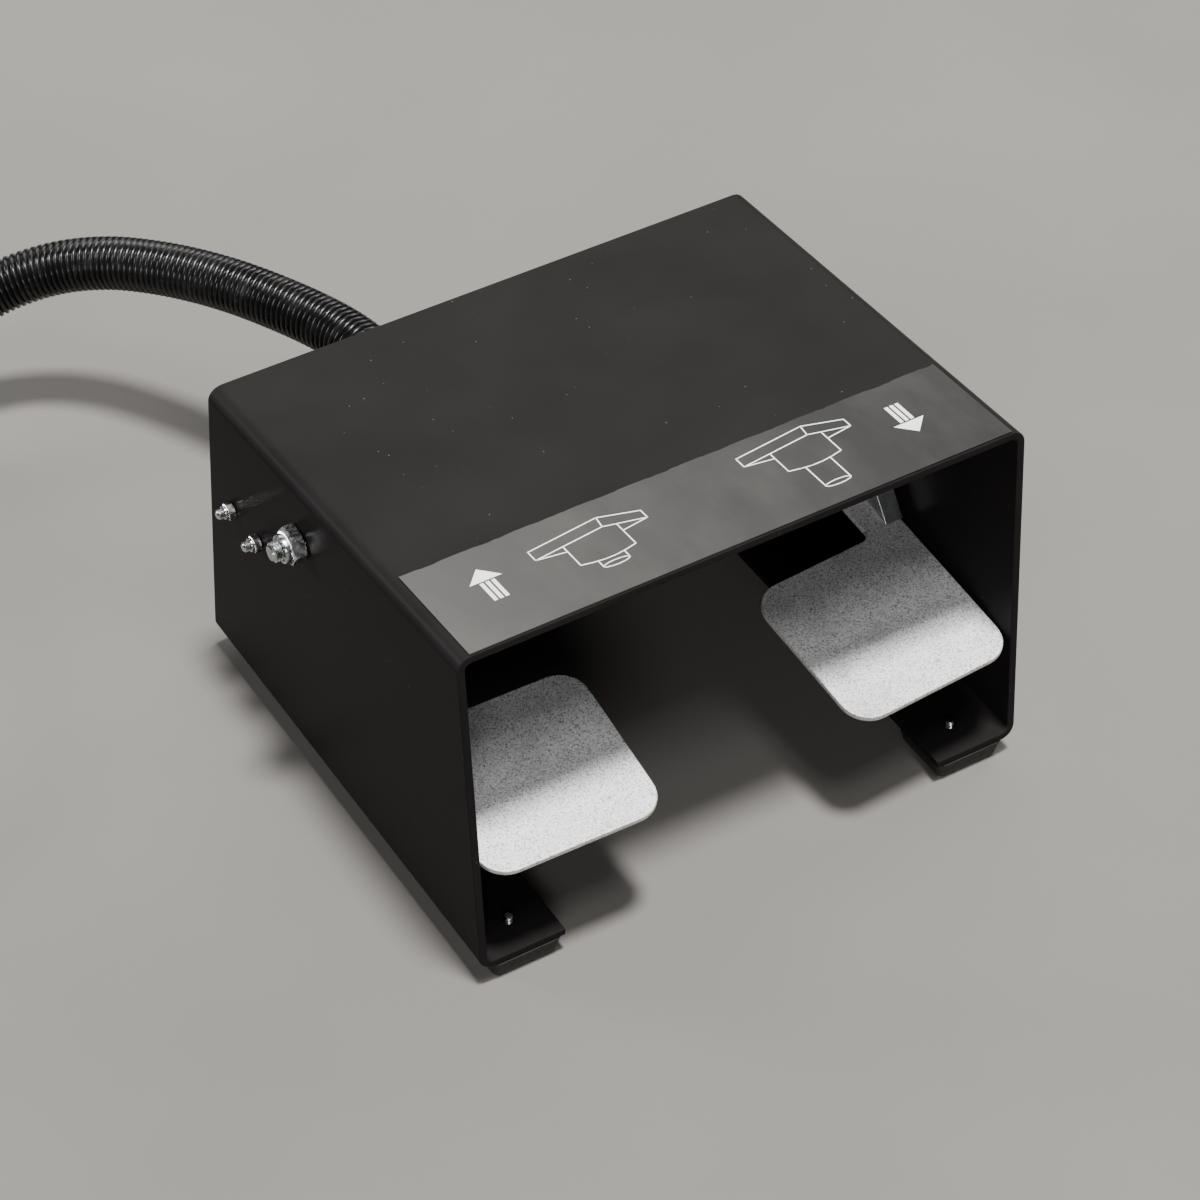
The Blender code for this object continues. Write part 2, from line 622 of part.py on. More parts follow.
def switch_bolts(side, sign):
    """Two bolts through the switch, its bracket and the wall, with lock nuts outside."""
    inner = SWITCH_X - SWITCH_SIZE[0] / 2 - GAP
    end = COVER_WIDTH / 2 + 0.0088
    head = 0.0032
    outward = "X" if sign > 0 else "-X"
    profile = [(0, inner - head), (0.0036, inner - head), (0.0045, inner - 0.0020), (0.0045, inner),
               (SCREW_RADIUS, inner), (SCREW_RADIUS, end - 0.0006), (0.0019, end), (0, end)]
    for place, (y, z) in zip(("front", "rear"), SWITCH_HOLES):
        smooth(add(f"{side}_{place}_switch_bolt", turned_mesh(profile, 16, outward), zinc(), at=(0, y, z)))
        add(f"{side}_{place}_switch_nut", hex_nut_mesh(*SWITCH_NUT, HOLE_RADIUS, outward), zinc(),
            at=(sign * (COVER_WIDTH / 2 + GAP + SWITCH_NUT[1] / 2), y, z))


def switch_lead(side, sign):
    """Lead from the underside of the switch across the rear panel and into the gland."""
    x, y, z = sign * SWITCH_X, 0.106, SWITCH_HOLES[0][1] - SWITCH_SIZE[2] / 2 - GAP
    inside = gland_point(-0.0113)
    turn_x = GLAND_X + sign * 0.004
    stop = Vector((turn_x, inside.y, inside.z))
    points = [(x, y, z), (x, y, z - 0.006), (x - sign * 0.004, y, z - 0.013),
              (x - sign * 0.014, y, z - 0.017)]
    across = turn_x + sign * 0.030
    points += [(x + (across - x) * s, y, z - 0.018) for s in (0.3, 0.6, 0.9)]
    points += [(turn_x + sign * 0.016, y - 0.006, z - 0.015), (turn_x + sign * 0.005, y - 0.010, z - 0.006),
               (turn_x, y - 0.008, z + 0.004), (turn_x, y - 0.001, stop.z - 0.001), tuple(stop)]
    swept(f"{side}_switch_lead", smooth_line(points, 0.007), LEAD_RADIUS, rubber(), resolution=2)


# --- The conduit: hose, coil and its end fitting ---


def smooth_line(points, step):
    """Points about step apart on a Catmull-Rom curve through the given ones."""
    p = [Vector(q) for q in points]
    p = [2 * p[0] - p[1], *p, 2 * p[-1] - p[-2]]
    fine = []
    for a, b, c, d in zip(p, p[1:], p[2:], p[3:]):
        for k in range(12):
            t = k / 12
            fine.append(0.5 * (2 * b + (c - a) * t + (2 * a - 5 * b + 4 * c - d) * t * t
                               + (3 * b - a - 3 * c + d) * t ** 3))
    fine.append(p[-2])
    length = sum((b - a).length for a, b in zip(fine, fine[1:]))
    count = max(2, round(length / step))
    picked, walked, wanted = [fine[0]], 0.0, 1
    for a, b in zip(fine, fine[1:]):
        part = (b - a).length
        while wanted < count and walked + part >= wanted * length / count:
            picked.append(a.lerp(b, (wanted * length / count - walked) / part))
            wanted += 1
        walked += part
    return [tuple(q) for q in [*picked, fine[-1]]]


def loose_end(phi):
    """The last stretch curls in off the upper turn and down to the floor inside the coil."""
    centre = COIL_CENTRE - Vector((COIL_RADIUS - TAIL_BEND, 0, 0))
    angle = math.radians(180 + phi)
    share = min(max((phi - 55) / 60, 0.0), 1.0)
    upper = 3 * CONDUIT_RADIUS + GAP
    height = upper + (FITTING_HEIGHT - upper) * share * share * (3 - 2 * share)
    return centre + Vector((TAIL_BEND * math.cos(angle), TAIL_BEND * math.sin(angle), height))


def conduit_coil():
    """One ring of the outer shape of the coil's two turns."""
    r, soft = CONDUIT_RADIUS, 0.005
    low, high = COIL_RADIUS - r, COIL_RADIUS + r
    floor, top = GAP, 4 * r
    section = [(low, floor + soft), (low + soft, floor), (high - soft, floor), (high, floor + soft),
               (high, top - soft), (high - soft, top), (low + soft, top), (low, top - soft)]
    smooth(add("conduit_coil", turned_mesh(section, 48), hose_plastic(), at=COIL_CENTRE), 50)


def conduit():
    line = [HOSE_ROUTE[0], *smooth_line(HOSE_ROUTE[1:], 4 * CONDUIT_RADIUS)]
    swept("conduit_hose", line, CONDUIT_RADIUS, hose_plastic(), resolution=3)
    conduit_coil()
    tail = [loose_end(phi) for phi in (100, 106, 112, 117, TAIL_TURN - 1, TAIL_TURN)]
    swept("conduit_tail", [tuple(p) for p in tail], CONDUIT_RADIUS, hose_plastic(), resolution=3)


def end_fitting():
    """A sleeve on the loose end with a threaded nose, and the locknut on that nose."""
    end = loose_end(TAIL_TURN)
    along = end - loose_end(TAIL_TURN - 1)
    along.z = 0
    along.normalize()
    bore, sleeve, collar, nose, length = 0.0100, 0.0180, 0.0187, 0.0125, 0.0460
    profile = [(bore, GAP), (sleeve, GAP), (sleeve, 0.0180), (collar, 0.0190), (collar, 0.0300),
               (nose, 0.0300), (nose, length - 0.0005), (nose - 0.0007, length), (bore, length)]
    fitting = add("conduit_end_fitting", turned_mesh(profile, 36, "Y"), zinc(), at=end)
    smooth(fitting)
    nut = add("conduit_end_locknut", hex_nut_mesh(*FITTING_NUT, 0.0, nose + GAP, "Y"), zinc(),
              at=end + along * 0.0340)
    for item in (fitting, nut):
        item.rotation_euler = (0, 0, math.atan2(along.y, along.x) - math.pi / 2)


def main():
    start_scene()
    drill_for_screws()
    cover_shell()
    front_label()
    rear_panel()
    conduit_gland()
    feet()
    pivot_axle()
    for side, sign in SIDES:
        pivot = body_empty(f"{side}_pedal", PIVOT)
        pedal_plate(side, sign, pivot)
        lever(side, sign, pivot)
        switch_bracket(side, sign)
        rest_bumper(side, sign)
        return_spring(side, sign)
        limit_switch(side, sign)
        switch_bolts(side, sign)
        switch_lead(side, sign)
    conduit()
    end_fitting()


main()
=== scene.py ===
# %% [markdown]
# # A twin pedal foot control, dressed for a studio view
#
# The object is the foot control of an industrial press. A folded steel guard covers two pedals, and
# each pedal works a limit switch on the side wall beside it. A corrugated conduit carries the wiring
# out of the back. Another file holds its exact solids, so this lesson only makes its visible surface.
# The solids are loaded first as a fixed frame: every new piece is placed by their boxes, in metres,
# with +Z up and the open front towards -Y.

# %% Load the frame
import json
import math
import random

import bmesh
import bpy
import numpy as np
from mathutils import Matrix, Vector

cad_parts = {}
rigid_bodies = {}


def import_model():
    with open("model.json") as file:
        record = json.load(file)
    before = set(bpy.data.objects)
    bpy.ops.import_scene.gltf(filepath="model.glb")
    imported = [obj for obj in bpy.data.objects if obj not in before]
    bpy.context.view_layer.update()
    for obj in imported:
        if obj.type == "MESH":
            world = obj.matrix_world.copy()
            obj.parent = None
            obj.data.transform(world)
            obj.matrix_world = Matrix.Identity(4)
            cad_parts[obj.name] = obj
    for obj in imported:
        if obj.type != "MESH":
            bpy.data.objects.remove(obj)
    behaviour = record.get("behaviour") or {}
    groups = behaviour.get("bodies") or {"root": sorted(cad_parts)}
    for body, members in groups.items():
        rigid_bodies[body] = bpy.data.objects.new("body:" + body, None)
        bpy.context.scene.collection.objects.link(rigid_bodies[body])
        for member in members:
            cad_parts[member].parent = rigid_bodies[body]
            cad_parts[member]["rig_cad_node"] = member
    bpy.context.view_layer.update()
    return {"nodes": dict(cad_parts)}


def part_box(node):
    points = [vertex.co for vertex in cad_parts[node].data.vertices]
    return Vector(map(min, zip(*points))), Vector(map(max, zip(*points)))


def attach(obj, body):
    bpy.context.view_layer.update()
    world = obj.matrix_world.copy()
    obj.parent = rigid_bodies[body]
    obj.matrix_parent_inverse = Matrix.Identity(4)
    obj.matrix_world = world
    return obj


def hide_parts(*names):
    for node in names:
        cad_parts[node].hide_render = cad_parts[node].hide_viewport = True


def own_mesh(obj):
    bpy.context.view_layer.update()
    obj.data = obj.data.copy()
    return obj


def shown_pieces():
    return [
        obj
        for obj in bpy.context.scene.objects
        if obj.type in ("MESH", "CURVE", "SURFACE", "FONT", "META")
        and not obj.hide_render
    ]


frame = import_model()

random.seed(7)

# %% [markdown]
# ## The camera
#
# The camera comes before any piece, because what it can see decides where the spare hose may lie.
# A long lens from a little more than two metres keeps the guard's edges almost parallel, as in a
# catalogue. Its three directions are written as a matrix: right, up and backwards.

# %% Make the camera
camera_data = bpy.data.cameras.new("studio_camera")
camera_data.sensor_width = 36.0
camera_data.lens = 117.43
camera = bpy.data.objects.new("studio_camera", camera_data)
bpy.context.scene.collection.objects.link(camera)
forward = Vector((0.37841535, 0.62722544, -0.68072761)).normalized()
right = forward.cross(Vector((0, 0, 1))).normalized()
up = right.cross(forward)
turn = Matrix((right, up, -forward)).transposed().to_4x4()
camera.matrix_world = Matrix.Translation((-0.7238, -1.1912, 1.3601)) @ turn
bpy.context.scene.camera = camera
print("camera looks along", tuple(round(c, 3) for c in forward))

# %% [markdown]
# ## Working as by hand
#
# Most pieces below start as a primitive and are shaped in edit mode. An operator works on whatever is
# selected, so the helpers select one piece alone, or only the faces, edges or points that pass a test.
# `settle` moves an object's place, turn and size into its mesh, so that every finished piece has its
# origin at the world's origin. `modify` adds a modifier and applies it at once.

# %% Helpers for selecting and modifying
def only(piece):
    """Selects this piece alone and makes it active."""
    bpy.ops.object.select_all(action="DESELECT")
    piece.select_set(True)
    bpy.context.view_layer.objects.active = piece
    return piece


def settle(name, place=None):
    """Names the newest object and moves its place, turn and size into its mesh."""
    piece = only(bpy.context.object)
    piece.name = piece.data.name = name
    if place is not None:
        piece.matrix_world = place @ piece.matrix_world
    bpy.ops.object.transform_apply(location=True, rotation=True, scale=True)
    return piece


def pick(kind, wanted):
    """In edit mode, selects only the faces, edges or verts that pass a test."""
    bpy.ops.mesh.select_mode(type={"faces": "FACE", "edges": "EDGE", "verts": "VERT"}[kind])
    bpy.ops.mesh.select_all(action="DESELECT")
    shape = bmesh.from_edit_mesh(bpy.context.object.data)
    shape.normal_update()
    chosen = [part for part in getattr(shape, kind) if wanted(part)]
    for part in chosen:
        part.select_set(True)
    bmesh.update_edit_mesh(bpy.context.object.data)
    return len(chosen)


def editing(on):
    bpy.ops.object.mode_set(mode="EDIT" if on else "OBJECT")


def middle(edge):
    return (edge.verts[0].co + edge.verts[1].co) / 2


def runs(edge, axis):
    """Whether an edge runs along axis 0, 1 or 2."""
    line = (edge.verts[1].co - edge.verts[0].co).normalized()
    return abs(line[axis]) > 0.9


def modify(piece, kind, **settings):
    """Adds a modifier to the piece and applies it."""
    only(piece)
    step = piece.modifiers.new(kind.lower(), kind)
    for name, value in settings.items():
        setattr(step, name, value)
    bpy.ops.object.modifier_apply(modifier=step.name)
    return piece


print("helpers ready")

# %% [markdown]
# Bought and turned pieces repeat the same few steps, so they get helpers too. `soften` rounds sharp
# edges, because no real edge is perfectly sharp and a rounded one catches a line of light. `cut`
# takes one shape out of another. `turned` works like a lathe: a circle is extruded and resized from
# one step to the next. `lay` puts a piece that was made upright along the axis that it has in place.

# %% Helpers for edges, cuts and turned pieces
def soften(piece, width, segments=2, angle=35):
    """Rounds the sharp edges, then shades the piece smooth wherever it isn't sharp."""
    modify(piece, "BEVEL", width=width, segments=segments, limit_method="ANGLE",
           angle_limit=math.radians(angle))
    bpy.ops.object.shade_smooth_by_angle(angle=math.radians(angle))
    return modify(piece, "WEIGHTED_NORMAL", keep_sharp=True)


def cut(piece, tool, operation="DIFFERENCE"):
    modify(piece, "BOOLEAN", operation=operation, solver="EXACT", object=tool)
    bpy.data.objects.remove(tool, do_unlink=True)
    return piece


def along(axis):
    """The turn that lays a piece made along +Z along the axis named."""
    turns = {"Z": (0, "X"), "-Z": (180, "X"), "X": (90, "Y"), "-X": (-90, "Y"), "Y": (-90, "X")}
    return Matrix.Rotation(math.radians(turns[axis][0]), 4, turns[axis][1])


def lay(piece, axis, place):
    piece.data.transform(Matrix.Translation(place) @ along(axis))
    return piece


def drill(piece, radius, length, axis, place, sides=32):
    bpy.ops.mesh.primitive_cylinder_add(vertices=sides, radius=radius, depth=length)
    tool = settle("drill", Matrix.Translation(place) @ along(axis))
    return cut(piece, tool)


def turned(name, steps, sides=40, bored=False):
    """A lathe piece along +Z, from (radius, height) steps; a bored one closes on its first step."""
    steps = [*steps, steps[0]] if bored else steps
    bpy.ops.mesh.primitive_circle_add(vertices=sides, radius=steps[0][0], location=(0, 0, steps[0][1]),
                                      fill_type="NOTHING" if bored else "NGON")
    piece = settle(name)
    editing(True)
    bpy.ops.mesh.select_mode(type="EDGE" if bored else "FACE")
    bpy.ops.mesh.select_all(action="SELECT")
    for (r0, z0), (r1, z1) in zip(steps, steps[1:]):
        bpy.ops.mesh.extrude_region_move(TRANSFORM_OT_translate={"value": (0, 0, z1 - z0)})
        bpy.ops.transform.resize(value=(r1 / r0, r1 / r0, 1), center_override=(0, 0, z1))
    bpy.ops.mesh.select_all(action="SELECT")
    bpy.ops.mesh.remove_doubles(threshold=0.000005)
    bpy.ops.mesh.normals_make_consistent(inside=False)
    editing(False)
    return piece


def shaded(piece, angle=32):
    only(piece)
    bpy.ops.object.shade_smooth_by_angle(angle=math.radians(angle))
    return piece


def face_out(piece):
    """Turns every face of the piece outwards."""
    only(piece)
    editing(True)
    bpy.ops.mesh.select_all(action="SELECT")
    bpy.ops.mesh.normals_make_consistent(inside=False)
    editing(False)
    return piece


def block(name, place, size):
    """A cube stretched to a size, with its middle at a place."""
    bpy.ops.mesh.primitive_cube_add(size=1, location=place, scale=size)
    return settle(name)


def spot(solid):
    """The lowest corner, the highest corner and the middle of a solid's box."""
    low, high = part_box(solid)
    return low, high, (low + high) / 2


def joined(name, *pieces):
    """Several shells as one piece."""
    only(pieces[0])
    for piece in pieces:
        piece.select_set(True)
    bpy.ops.object.join()
    pieces[0].name = pieces[0].data.name = name
    return pieces[0]


def another(piece, name, place):
    """A copy with its own mesh, moved by a matrix."""
    twin = piece.copy()
    twin.data = piece.data.copy()
    twin.name = twin.data.name = name
    bpy.context.collection.objects.link(twin)
    twin.data.transform(place)
    return twin


def put(piece, body, slot, *nodes):
    """The piece rides on a body and stands for its solids, which it hides; slot is not used."""
    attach(piece, body)
    if nodes:
        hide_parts(*nodes)
    return piece


print("lathe and cutter ready")

# %% [markdown]
# ## The conduit's line
#
# The conduit is a corrugated nylon hose of 28.5 mm. It leaves the gland in the rear panel, sags to the
# floor and runs on past the operator's left. It is stiff, so the bends are wide. Its spare length lies
# in a round coil of one turn and a quarter, with the loose end curled inside it. The free stretch is a
# list of chosen points, and the coil's points are worked out by a loop.

# %% Lay out the conduit's line
hose_radius = 0.01425
hose_points = [
    (-0.0360, 0.1375, 0.1157), (-0.0360, 0.1480, 0.1167), (-0.0373, 0.1650, 0.1172),
    (-0.0415, 0.1895, 0.1163), (-0.0485, 0.2133, 0.1145), (-0.0570, 0.2370, 0.1120),
    (-0.0665, 0.2605, 0.1090), (-0.0775, 0.2840, 0.1050), (-0.0905, 0.3072, 0.1002),
    (-0.1065, 0.3300, 0.0942), (-0.1268, 0.3488, 0.0868), (-0.1508, 0.3606, 0.0783),
    (-0.1780, 0.3652, 0.0690), (-0.2065, 0.3653, 0.0588), (-0.2350, 0.3642, 0.0485),
    (-0.2640, 0.3632, 0.0385), (-0.2930, 0.3624, 0.0295), (-0.3170, 0.3620, 0.0231),
    (-0.3460, 0.3620, 0.0175), (-0.3780, 0.3620, 0.0147),
]
coil_centre, coil_radius, end_radius = Vector((-0.412, 0.2195, 0.0)), 0.1425, 0.114
fitting_height, end_turn, floor_gap = 0.0190, 122, 0.0003
coil_top = 3 * hose_radius + floor_gap


def eased(value, start, end):
    share = min(max((value - start) / (end - start), 0.0), 1.0)
    return share * share * (3 - 2 * share)


for degrees in range(0, 450, 15):
    angle = math.radians(90 + degrees)
    height = floor_gap + hose_radius * (1 + 2 * eased(degrees, 250, 325))  # climbs onto the turn below
    hose_points.append(coil_centre + Vector((coil_radius * math.cos(angle),
                                             coil_radius * math.sin(angle), height)))
end_centre = coil_centre - Vector((coil_radius - end_radius, 0, 0))
for degrees in [*range(0, 118, 9), end_turn - 1, end_turn]:
    angle = math.radians(180 + degrees)
    height = coil_top + (fitting_height - coil_top) * eased(degrees, 55, 115)
    hose_points.append(end_centre + Vector((end_radius * math.cos(angle),
                                            end_radius * math.sin(angle), height)))
print("points on the line:", len(hose_points))

# %% [markdown]
# A smooth curve goes through those points. It is then divided into equal steps, because the ribs of a
# hose are evenly spaced however it bends. Each step becomes one ring of points.

# %% Divide the line evenly
def even_line(points, step):
    """Evenly spaced points on a smooth curve through the given ones."""
    p = np.array([tuple(q) for q in points], float)
    p = np.vstack([2 * p[0] - p[1], p, 2 * p[-1] - p[-2]])
    fine = []
    for a, b, c, d in zip(p, p[1:], p[2:], p[3:]):
        for t in np.arange(0, 1, 1 / 24):
            fine.append(0.5 * (2 * b + (c - a) * t + (2 * a - 5 * b + 4 * c - d) * t ** 2
                               + (3 * b - a - 3 * c + d) * t ** 3))
    fine = np.array([*fine, p[-2]])
    walked = np.concatenate([[0], np.cumsum(np.linalg.norm(np.diff(fine, axis=0), axis=1))])
    marks = np.linspace(0, walked[-1], round(walked[-1] / step) + 1)
    return np.column_stack([np.interp(marks, walked, fine[:, k]) for k in range(3)]), walked[-1]


rib_pitch, rings_per_rib = 0.0036, 6
hose_line, hose_length = even_line(hose_points, rib_pitch / rings_per_rib)
print("hose length:", round(hose_length, 4), "rings:", len(hose_line))

# %% [markdown]
# ## The corrugated hose
#
# Each rib is a round crest with a narrow groove after it, 3.6 mm from one to the next, which is what
# lets a stiff plastic hose bend. The rings are swept along the line with a frame that turns as little
# as possible, so the tube doesn't twist. A bevelled curve couldn't change its radius so often.

# %% Sweep the hose
def swept_tube(name, line, radii, sides):
    """A closed tube through the line, one ring a point, each ring with its own radius."""
    tangent = np.gradient(line, axis=0)
    tangent /= np.linalg.norm(tangent, axis=1)[:, None]
    across = np.cross(tangent[0], (0, 0, 1.0))
    turns = np.arange(sides) * 2 * math.pi / sides
    points = []
    for centre, ahead, radius in zip(line, tangent, radii):
        across = across - ahead * (across @ ahead)
        across /= np.linalg.norm(across)
        over = np.cross(ahead, across)
        ring = np.outer(np.cos(turns), across) + np.outer(np.sin(turns), over)
        points.append(centre + radius * ring)
    points = np.concatenate(points)
    k = np.arange(sides)
    faces = []
    for ring in range(len(line) - 1):
        a, b = ring * sides + k, ring * sides + (k + 1) % sides
        faces += np.column_stack([b, a, a + sides, b + sides]).tolist()
    faces += [list(range(sides)), list(range(len(points) - 1, len(points) - 1 - sides, -1))]
    mesh = bpy.data.meshes.new(name)
    mesh.from_pydata(points.tolist(), [], faces)
    tube = bpy.data.objects.new(name, mesh)
    bpy.context.scene.collection.objects.link(tube)
    return shaded(face_out(tube), 60)


rib = [0.01345, 0.01410, hose_radius, 0.01410, 0.01345, 0.01270]
hose_radii = [rib[k % len(rib)] for k in range(len(hose_line))]
hose = swept_tube("corrugated_hose", hose_line, hose_radii, 20)
put(hose, "guard", "conduit_plastic", "conduit_hose", "conduit_coil", "conduit_tail")
print("hose faces:", len(hose.data.polygons))

# %% [markdown]
# ## Threads and nuts
#
# A thread is turned as closed ribs: at this size they give the eye the same lines as a helix, and the
# mesh stays closed. A lock nut is a hexagon whose corners are cut back by a cone, as a real one is, and
# above it a rolled collar that holds a nylon ring. The ring grips the thread and is a piece of its own.

# %% Make threads and nuts
def thread(radius, pitch, start, end):
    """Lathe steps of a thread between two heights."""
    depth, count = 0.6 * pitch, max(1, round((end - start) / pitch))
    steps = []
    for k in range(count):
        base = start + (end - start) * k / count
        rise = (end - start) / count
        steps += [(radius - depth, base), (radius, base + 0.4 * rise), (radius, base + 0.6 * rise)]
    return [*steps, (radius - depth, end)]


def hexagon(name, across, height, bore):
    """A hexagon standing on z = 0, with cone-cut corners and a hole."""
    corner, flat = across / math.sqrt(3), across * 0.475
    cone_wide = corner + 0.0001
    drop = (cone_wide - flat) * math.tan(math.radians(30))
    bpy.ops.mesh.primitive_cylinder_add(vertices=6, radius=corner, depth=height,
                                        location=(0, 0, height / 2))
    nut = settle(name)
    cone = turned("corner_cone", [(flat, -0.00001), (cone_wide, drop), (cone_wide, height - drop),
                                  (flat, height + 0.00001)], 48)
    cut(nut, cone, "INTERSECT")
    drill(nut, bore, height * 3, "Z", (0, 0, height / 2))
    return soften(nut, across * 0.012, 2, 25)


def lock_nut(name, across, height, collar, bore):
    """Its collar rises above the hexagon, and the nylon ring is returned apart."""
    outer, lip = across * 0.43, across * 0.34
    nut = hexagon(name, across, height, bore)
    crown = turned(f"{name}_crown", [
        (lip, height - 0.0006), (outer * 0.93, height - 0.0006), (outer * 0.93, height + 0.12 * collar),
        (outer, height + 0.2 * collar), (outer, height + 0.66 * collar), (outer * 0.96, height + 0.9 * collar),
        (outer * 0.88, height + collar), (lip, height + collar), (lip, height + 0.85 * collar)], 40, True)
    ring = turned(f"{name}_ring", [
        (bore * 0.97, height), (lip + 0.0001, height), (lip + 0.0001, height + 0.78 * collar),
        (bore * 0.97, height + 0.84 * collar)], 40, True)
    return joined(name, nut, shaded(crown)), shaded(ring)


wall_outside, nut_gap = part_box("cover_shell")[1].x, 0.0003
axle_low, axle_high, axle_place = spot("pivot_axle")
big_nut, big_ring = lock_nut("axle_lock_nut", 0.017, 0.0070, 0.0032, 0.0051)
small_nut, small_ring = lock_nut("bolt_lock_nut", 0.0082, 0.0034, 0.0016, 0.0026)
for side, sign in (("left", -1), ("right", 1)):
    outward = "-X" if sign < 0 else "X"
    place = Matrix.Translation((sign * (wall_outside + nut_gap), axle_place.y, axle_place.z))
    place = place @ along(outward)
    put(another(big_nut, f"{side}_axle_lock_nut", place), "guard", "fasteners", f"axle_nut_{side}")
    put(another(big_ring, f"{side}_axle_nylon_ring", place), "guard", "fasteners")
    for end, spin in (("front", 8), ("rear", 22)):
        low, high, centre = spot(f"{side}_{end}_switch_nut")
        place = Matrix.Translation((sign * (wall_outside + nut_gap), centre.y, centre.z))
        place = place @ along(outward) @ Matrix.Rotation(math.radians(spin), 4, "Z")
        put(another(small_nut, f"{side}_{end}_bolt_lock_nut", place), "guard", "fasteners",
            f"{side}_{end}_switch_nut")
        put(another(small_ring, f"{side}_{end}_bolt_nylon_ring", place), "guard", "fasteners")
for pattern in (big_nut, big_ring, small_nut, small_ring):
    bpy.data.objects.remove(pattern, do_unlink=True)

# %% [markdown]
# ## The axle, the bolts and the foot screws
#
# One rod goes through both walls, threaded at its ends for the lock nuts. Between the two levers it
# carries a spacer tube. The bolts that hold the switches are small pan heads, and the foot screws show
# only their tips above the floor flanges. All of them are lathe pieces: the bolt and the foot screw are
# made once and copied to each place. A cross is cut in the foot screw's head for the screwdriver.

# %% Make the rod, bolts and screws
rod_radius, rod_half = axle_high.z - axle_place.z, axle_high.x
thread_from = rod_half - 0.017
upper = [*thread(rod_radius, 0.0015, thread_from, rod_half - 0.0008), (rod_radius - 0.0013, rod_half)]
lower = [(r, -z) for r, z in reversed(upper)]
rod = shaded(turned("axle_rod", [
    *lower, (rod_radius, -thread_from + 0.0006), (rod_radius, thread_from - 0.0006), *upper], 32), 25)
put(lay(rod, "X", axle_place), "guard", "fasteners", "pivot_axle")

spacer_low, spacer_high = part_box("axle_spacer")
half, tube = spacer_high.x, spacer_high.z - axle_place.z
tube_bore, tube_edge = rod_radius + 0.0002, 0.0005
spacer = turned("spacer_tube", [
    (tube_bore, -half), (tube - tube_edge, -half), (tube, -half + tube_edge), (tube, half - tube_edge),
    (tube - tube_edge, half), (tube_bore, half)], 40, True)
put(lay(shaded(spacer), "X", axle_place), "guard", "zinc", "axle_spacer")

bolt_low, bolt_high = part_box("right_front_switch_bolt")
length = bolt_high.x - bolt_low.x
bolt = shaded(turned("pattern_bolt", [
    (0.0016, 0.0012), (0.0020, 0), (0.0036, 0), (0.0042, 0.0005), (0.0045, 0.0016), (0.0045, 0.0032),
    (0.0025, 0.0032), *thread(0.0025, 0.0008, 0.0034, length - 0.0005), (0.0017, length)], 28), 25)
for side, sign in (("left", -1), ("right", 1)):
    for end in ("front", "rear"):
        low, high, centre = spot(f"{side}_{end}_switch_bolt")
        place = Matrix.Translation((low.x if sign > 0 else high.x, centre.y, centre.z))
        put(another(bolt, f"{side}_{end}_bolt", place @ along("-X" if sign < 0 else "X")),
            "guard", "fasteners", f"{side}_{end}_switch_bolt")
bpy.data.objects.remove(bolt, do_unlink=True)

foot_screws = [name for name in frame["nodes"] if name.startswith("foot_screw")]
for solid in foot_screws:
    low, high, centre = spot(solid)
    screw = turned(f"{solid}_threaded", [
        (0.0035, low.z), (0.0043, low.z + 0.0003), (0.0048, low.z + 0.0011), (0.0048, 0.0050),
        (0.0025, 0.0050), *thread(0.0025, 0.0008, 0.0052, high.z - 0.0006), (0.0017, high.z)], 28)
    for slot_size in ((0.0052, 0.0009, 0.003), (0.0009, 0.0052, 0.003)):
        cut(screw, block("cross_slot", (0, 0, low.z + 0.0004), slot_size))
    screw.data.transform(Matrix.Translation((centre.x, centre.y, 0)))
    put(shaded(screw, 25), "guard", "fasteners", solid)
print("rod, spacer, 4 bolts and 4 foot screws made")

# %% [markdown]
# ## The guard
#
# The real guard is one sheet of 4 mm steel, folded four times into a C, with its floor flanges turned
# in. It starts as a cube without front, back and floor. The top's points are moved, because both
# open edges lean and the top falls towards the back. The lower edges are extruded into flanges, and the
# four folds are bevelled to the bend radius. Only then does Solidify give the sheet its thickness.

# %% Fold the guard
low, high, centre = spot("cover_shell")
steel, bend, flange, cover_floor = 0.004, 0.0075, 0.0454, low.z
front_height, back_height, front_lean, back_lean = high.z - low.z, 0.1688, 0.0137, 0.0166
size = high - low
guard = block("folded_guard", centre, size)
editing(True)
pick("verts", lambda v: v.co.z > 0.1 and v.co.y < 0)
bpy.ops.transform.translate(value=(0, front_lean, 0))
pick("verts", lambda v: v.co.z > 0.1 and v.co.y > 0)
bpy.ops.transform.translate(value=(0, -back_lean, back_height - front_height))
pick("faces", lambda f: abs(f.normal.y) > 0.9 or f.normal.z < -0.9)
bpy.ops.mesh.delete(type="FACE")
for sign in (-1, 1):
    pick("edges", lambda e: runs(e, 1) and middle(e).z < 0.02 and middle(e).x * sign > 0.14)
    bpy.ops.mesh.extrude_region_move(TRANSFORM_OT_translate={"value": (-sign * flange, 0, 0)})
folds = pick("edges", lambda e: runs(e, 1) and abs(middle(e).x) > 0.149)
bpy.ops.mesh.bevel(offset=bend, segments=10, affect="EDGES")
editing(False)
print("folds:", folds)
modify(guard, "SOLIDIFY", thickness=steel, offset=-1, use_even_offset=True)
drill(guard, rod_radius + 0.0003, 0.4, "X", axle_place)
small_hole = 0.0028
for end in ("front", "rear"):
    centre = spot(f"right_{end}_switch_bolt")[2]
    drill(guard, small_hole, 0.4, "X", (0, centre.y, centre.z))
for solid in foot_screws:
    centre = spot(solid)[2]
    drill(guard, small_hole, 0.02, "Z", (centre.x, centre.y, 0.014))
put(soften(guard, 0.0006, 3, 40), "guard", "guard_paint", "cover_shell")
print("guard faces:", len(guard.data.polygons))

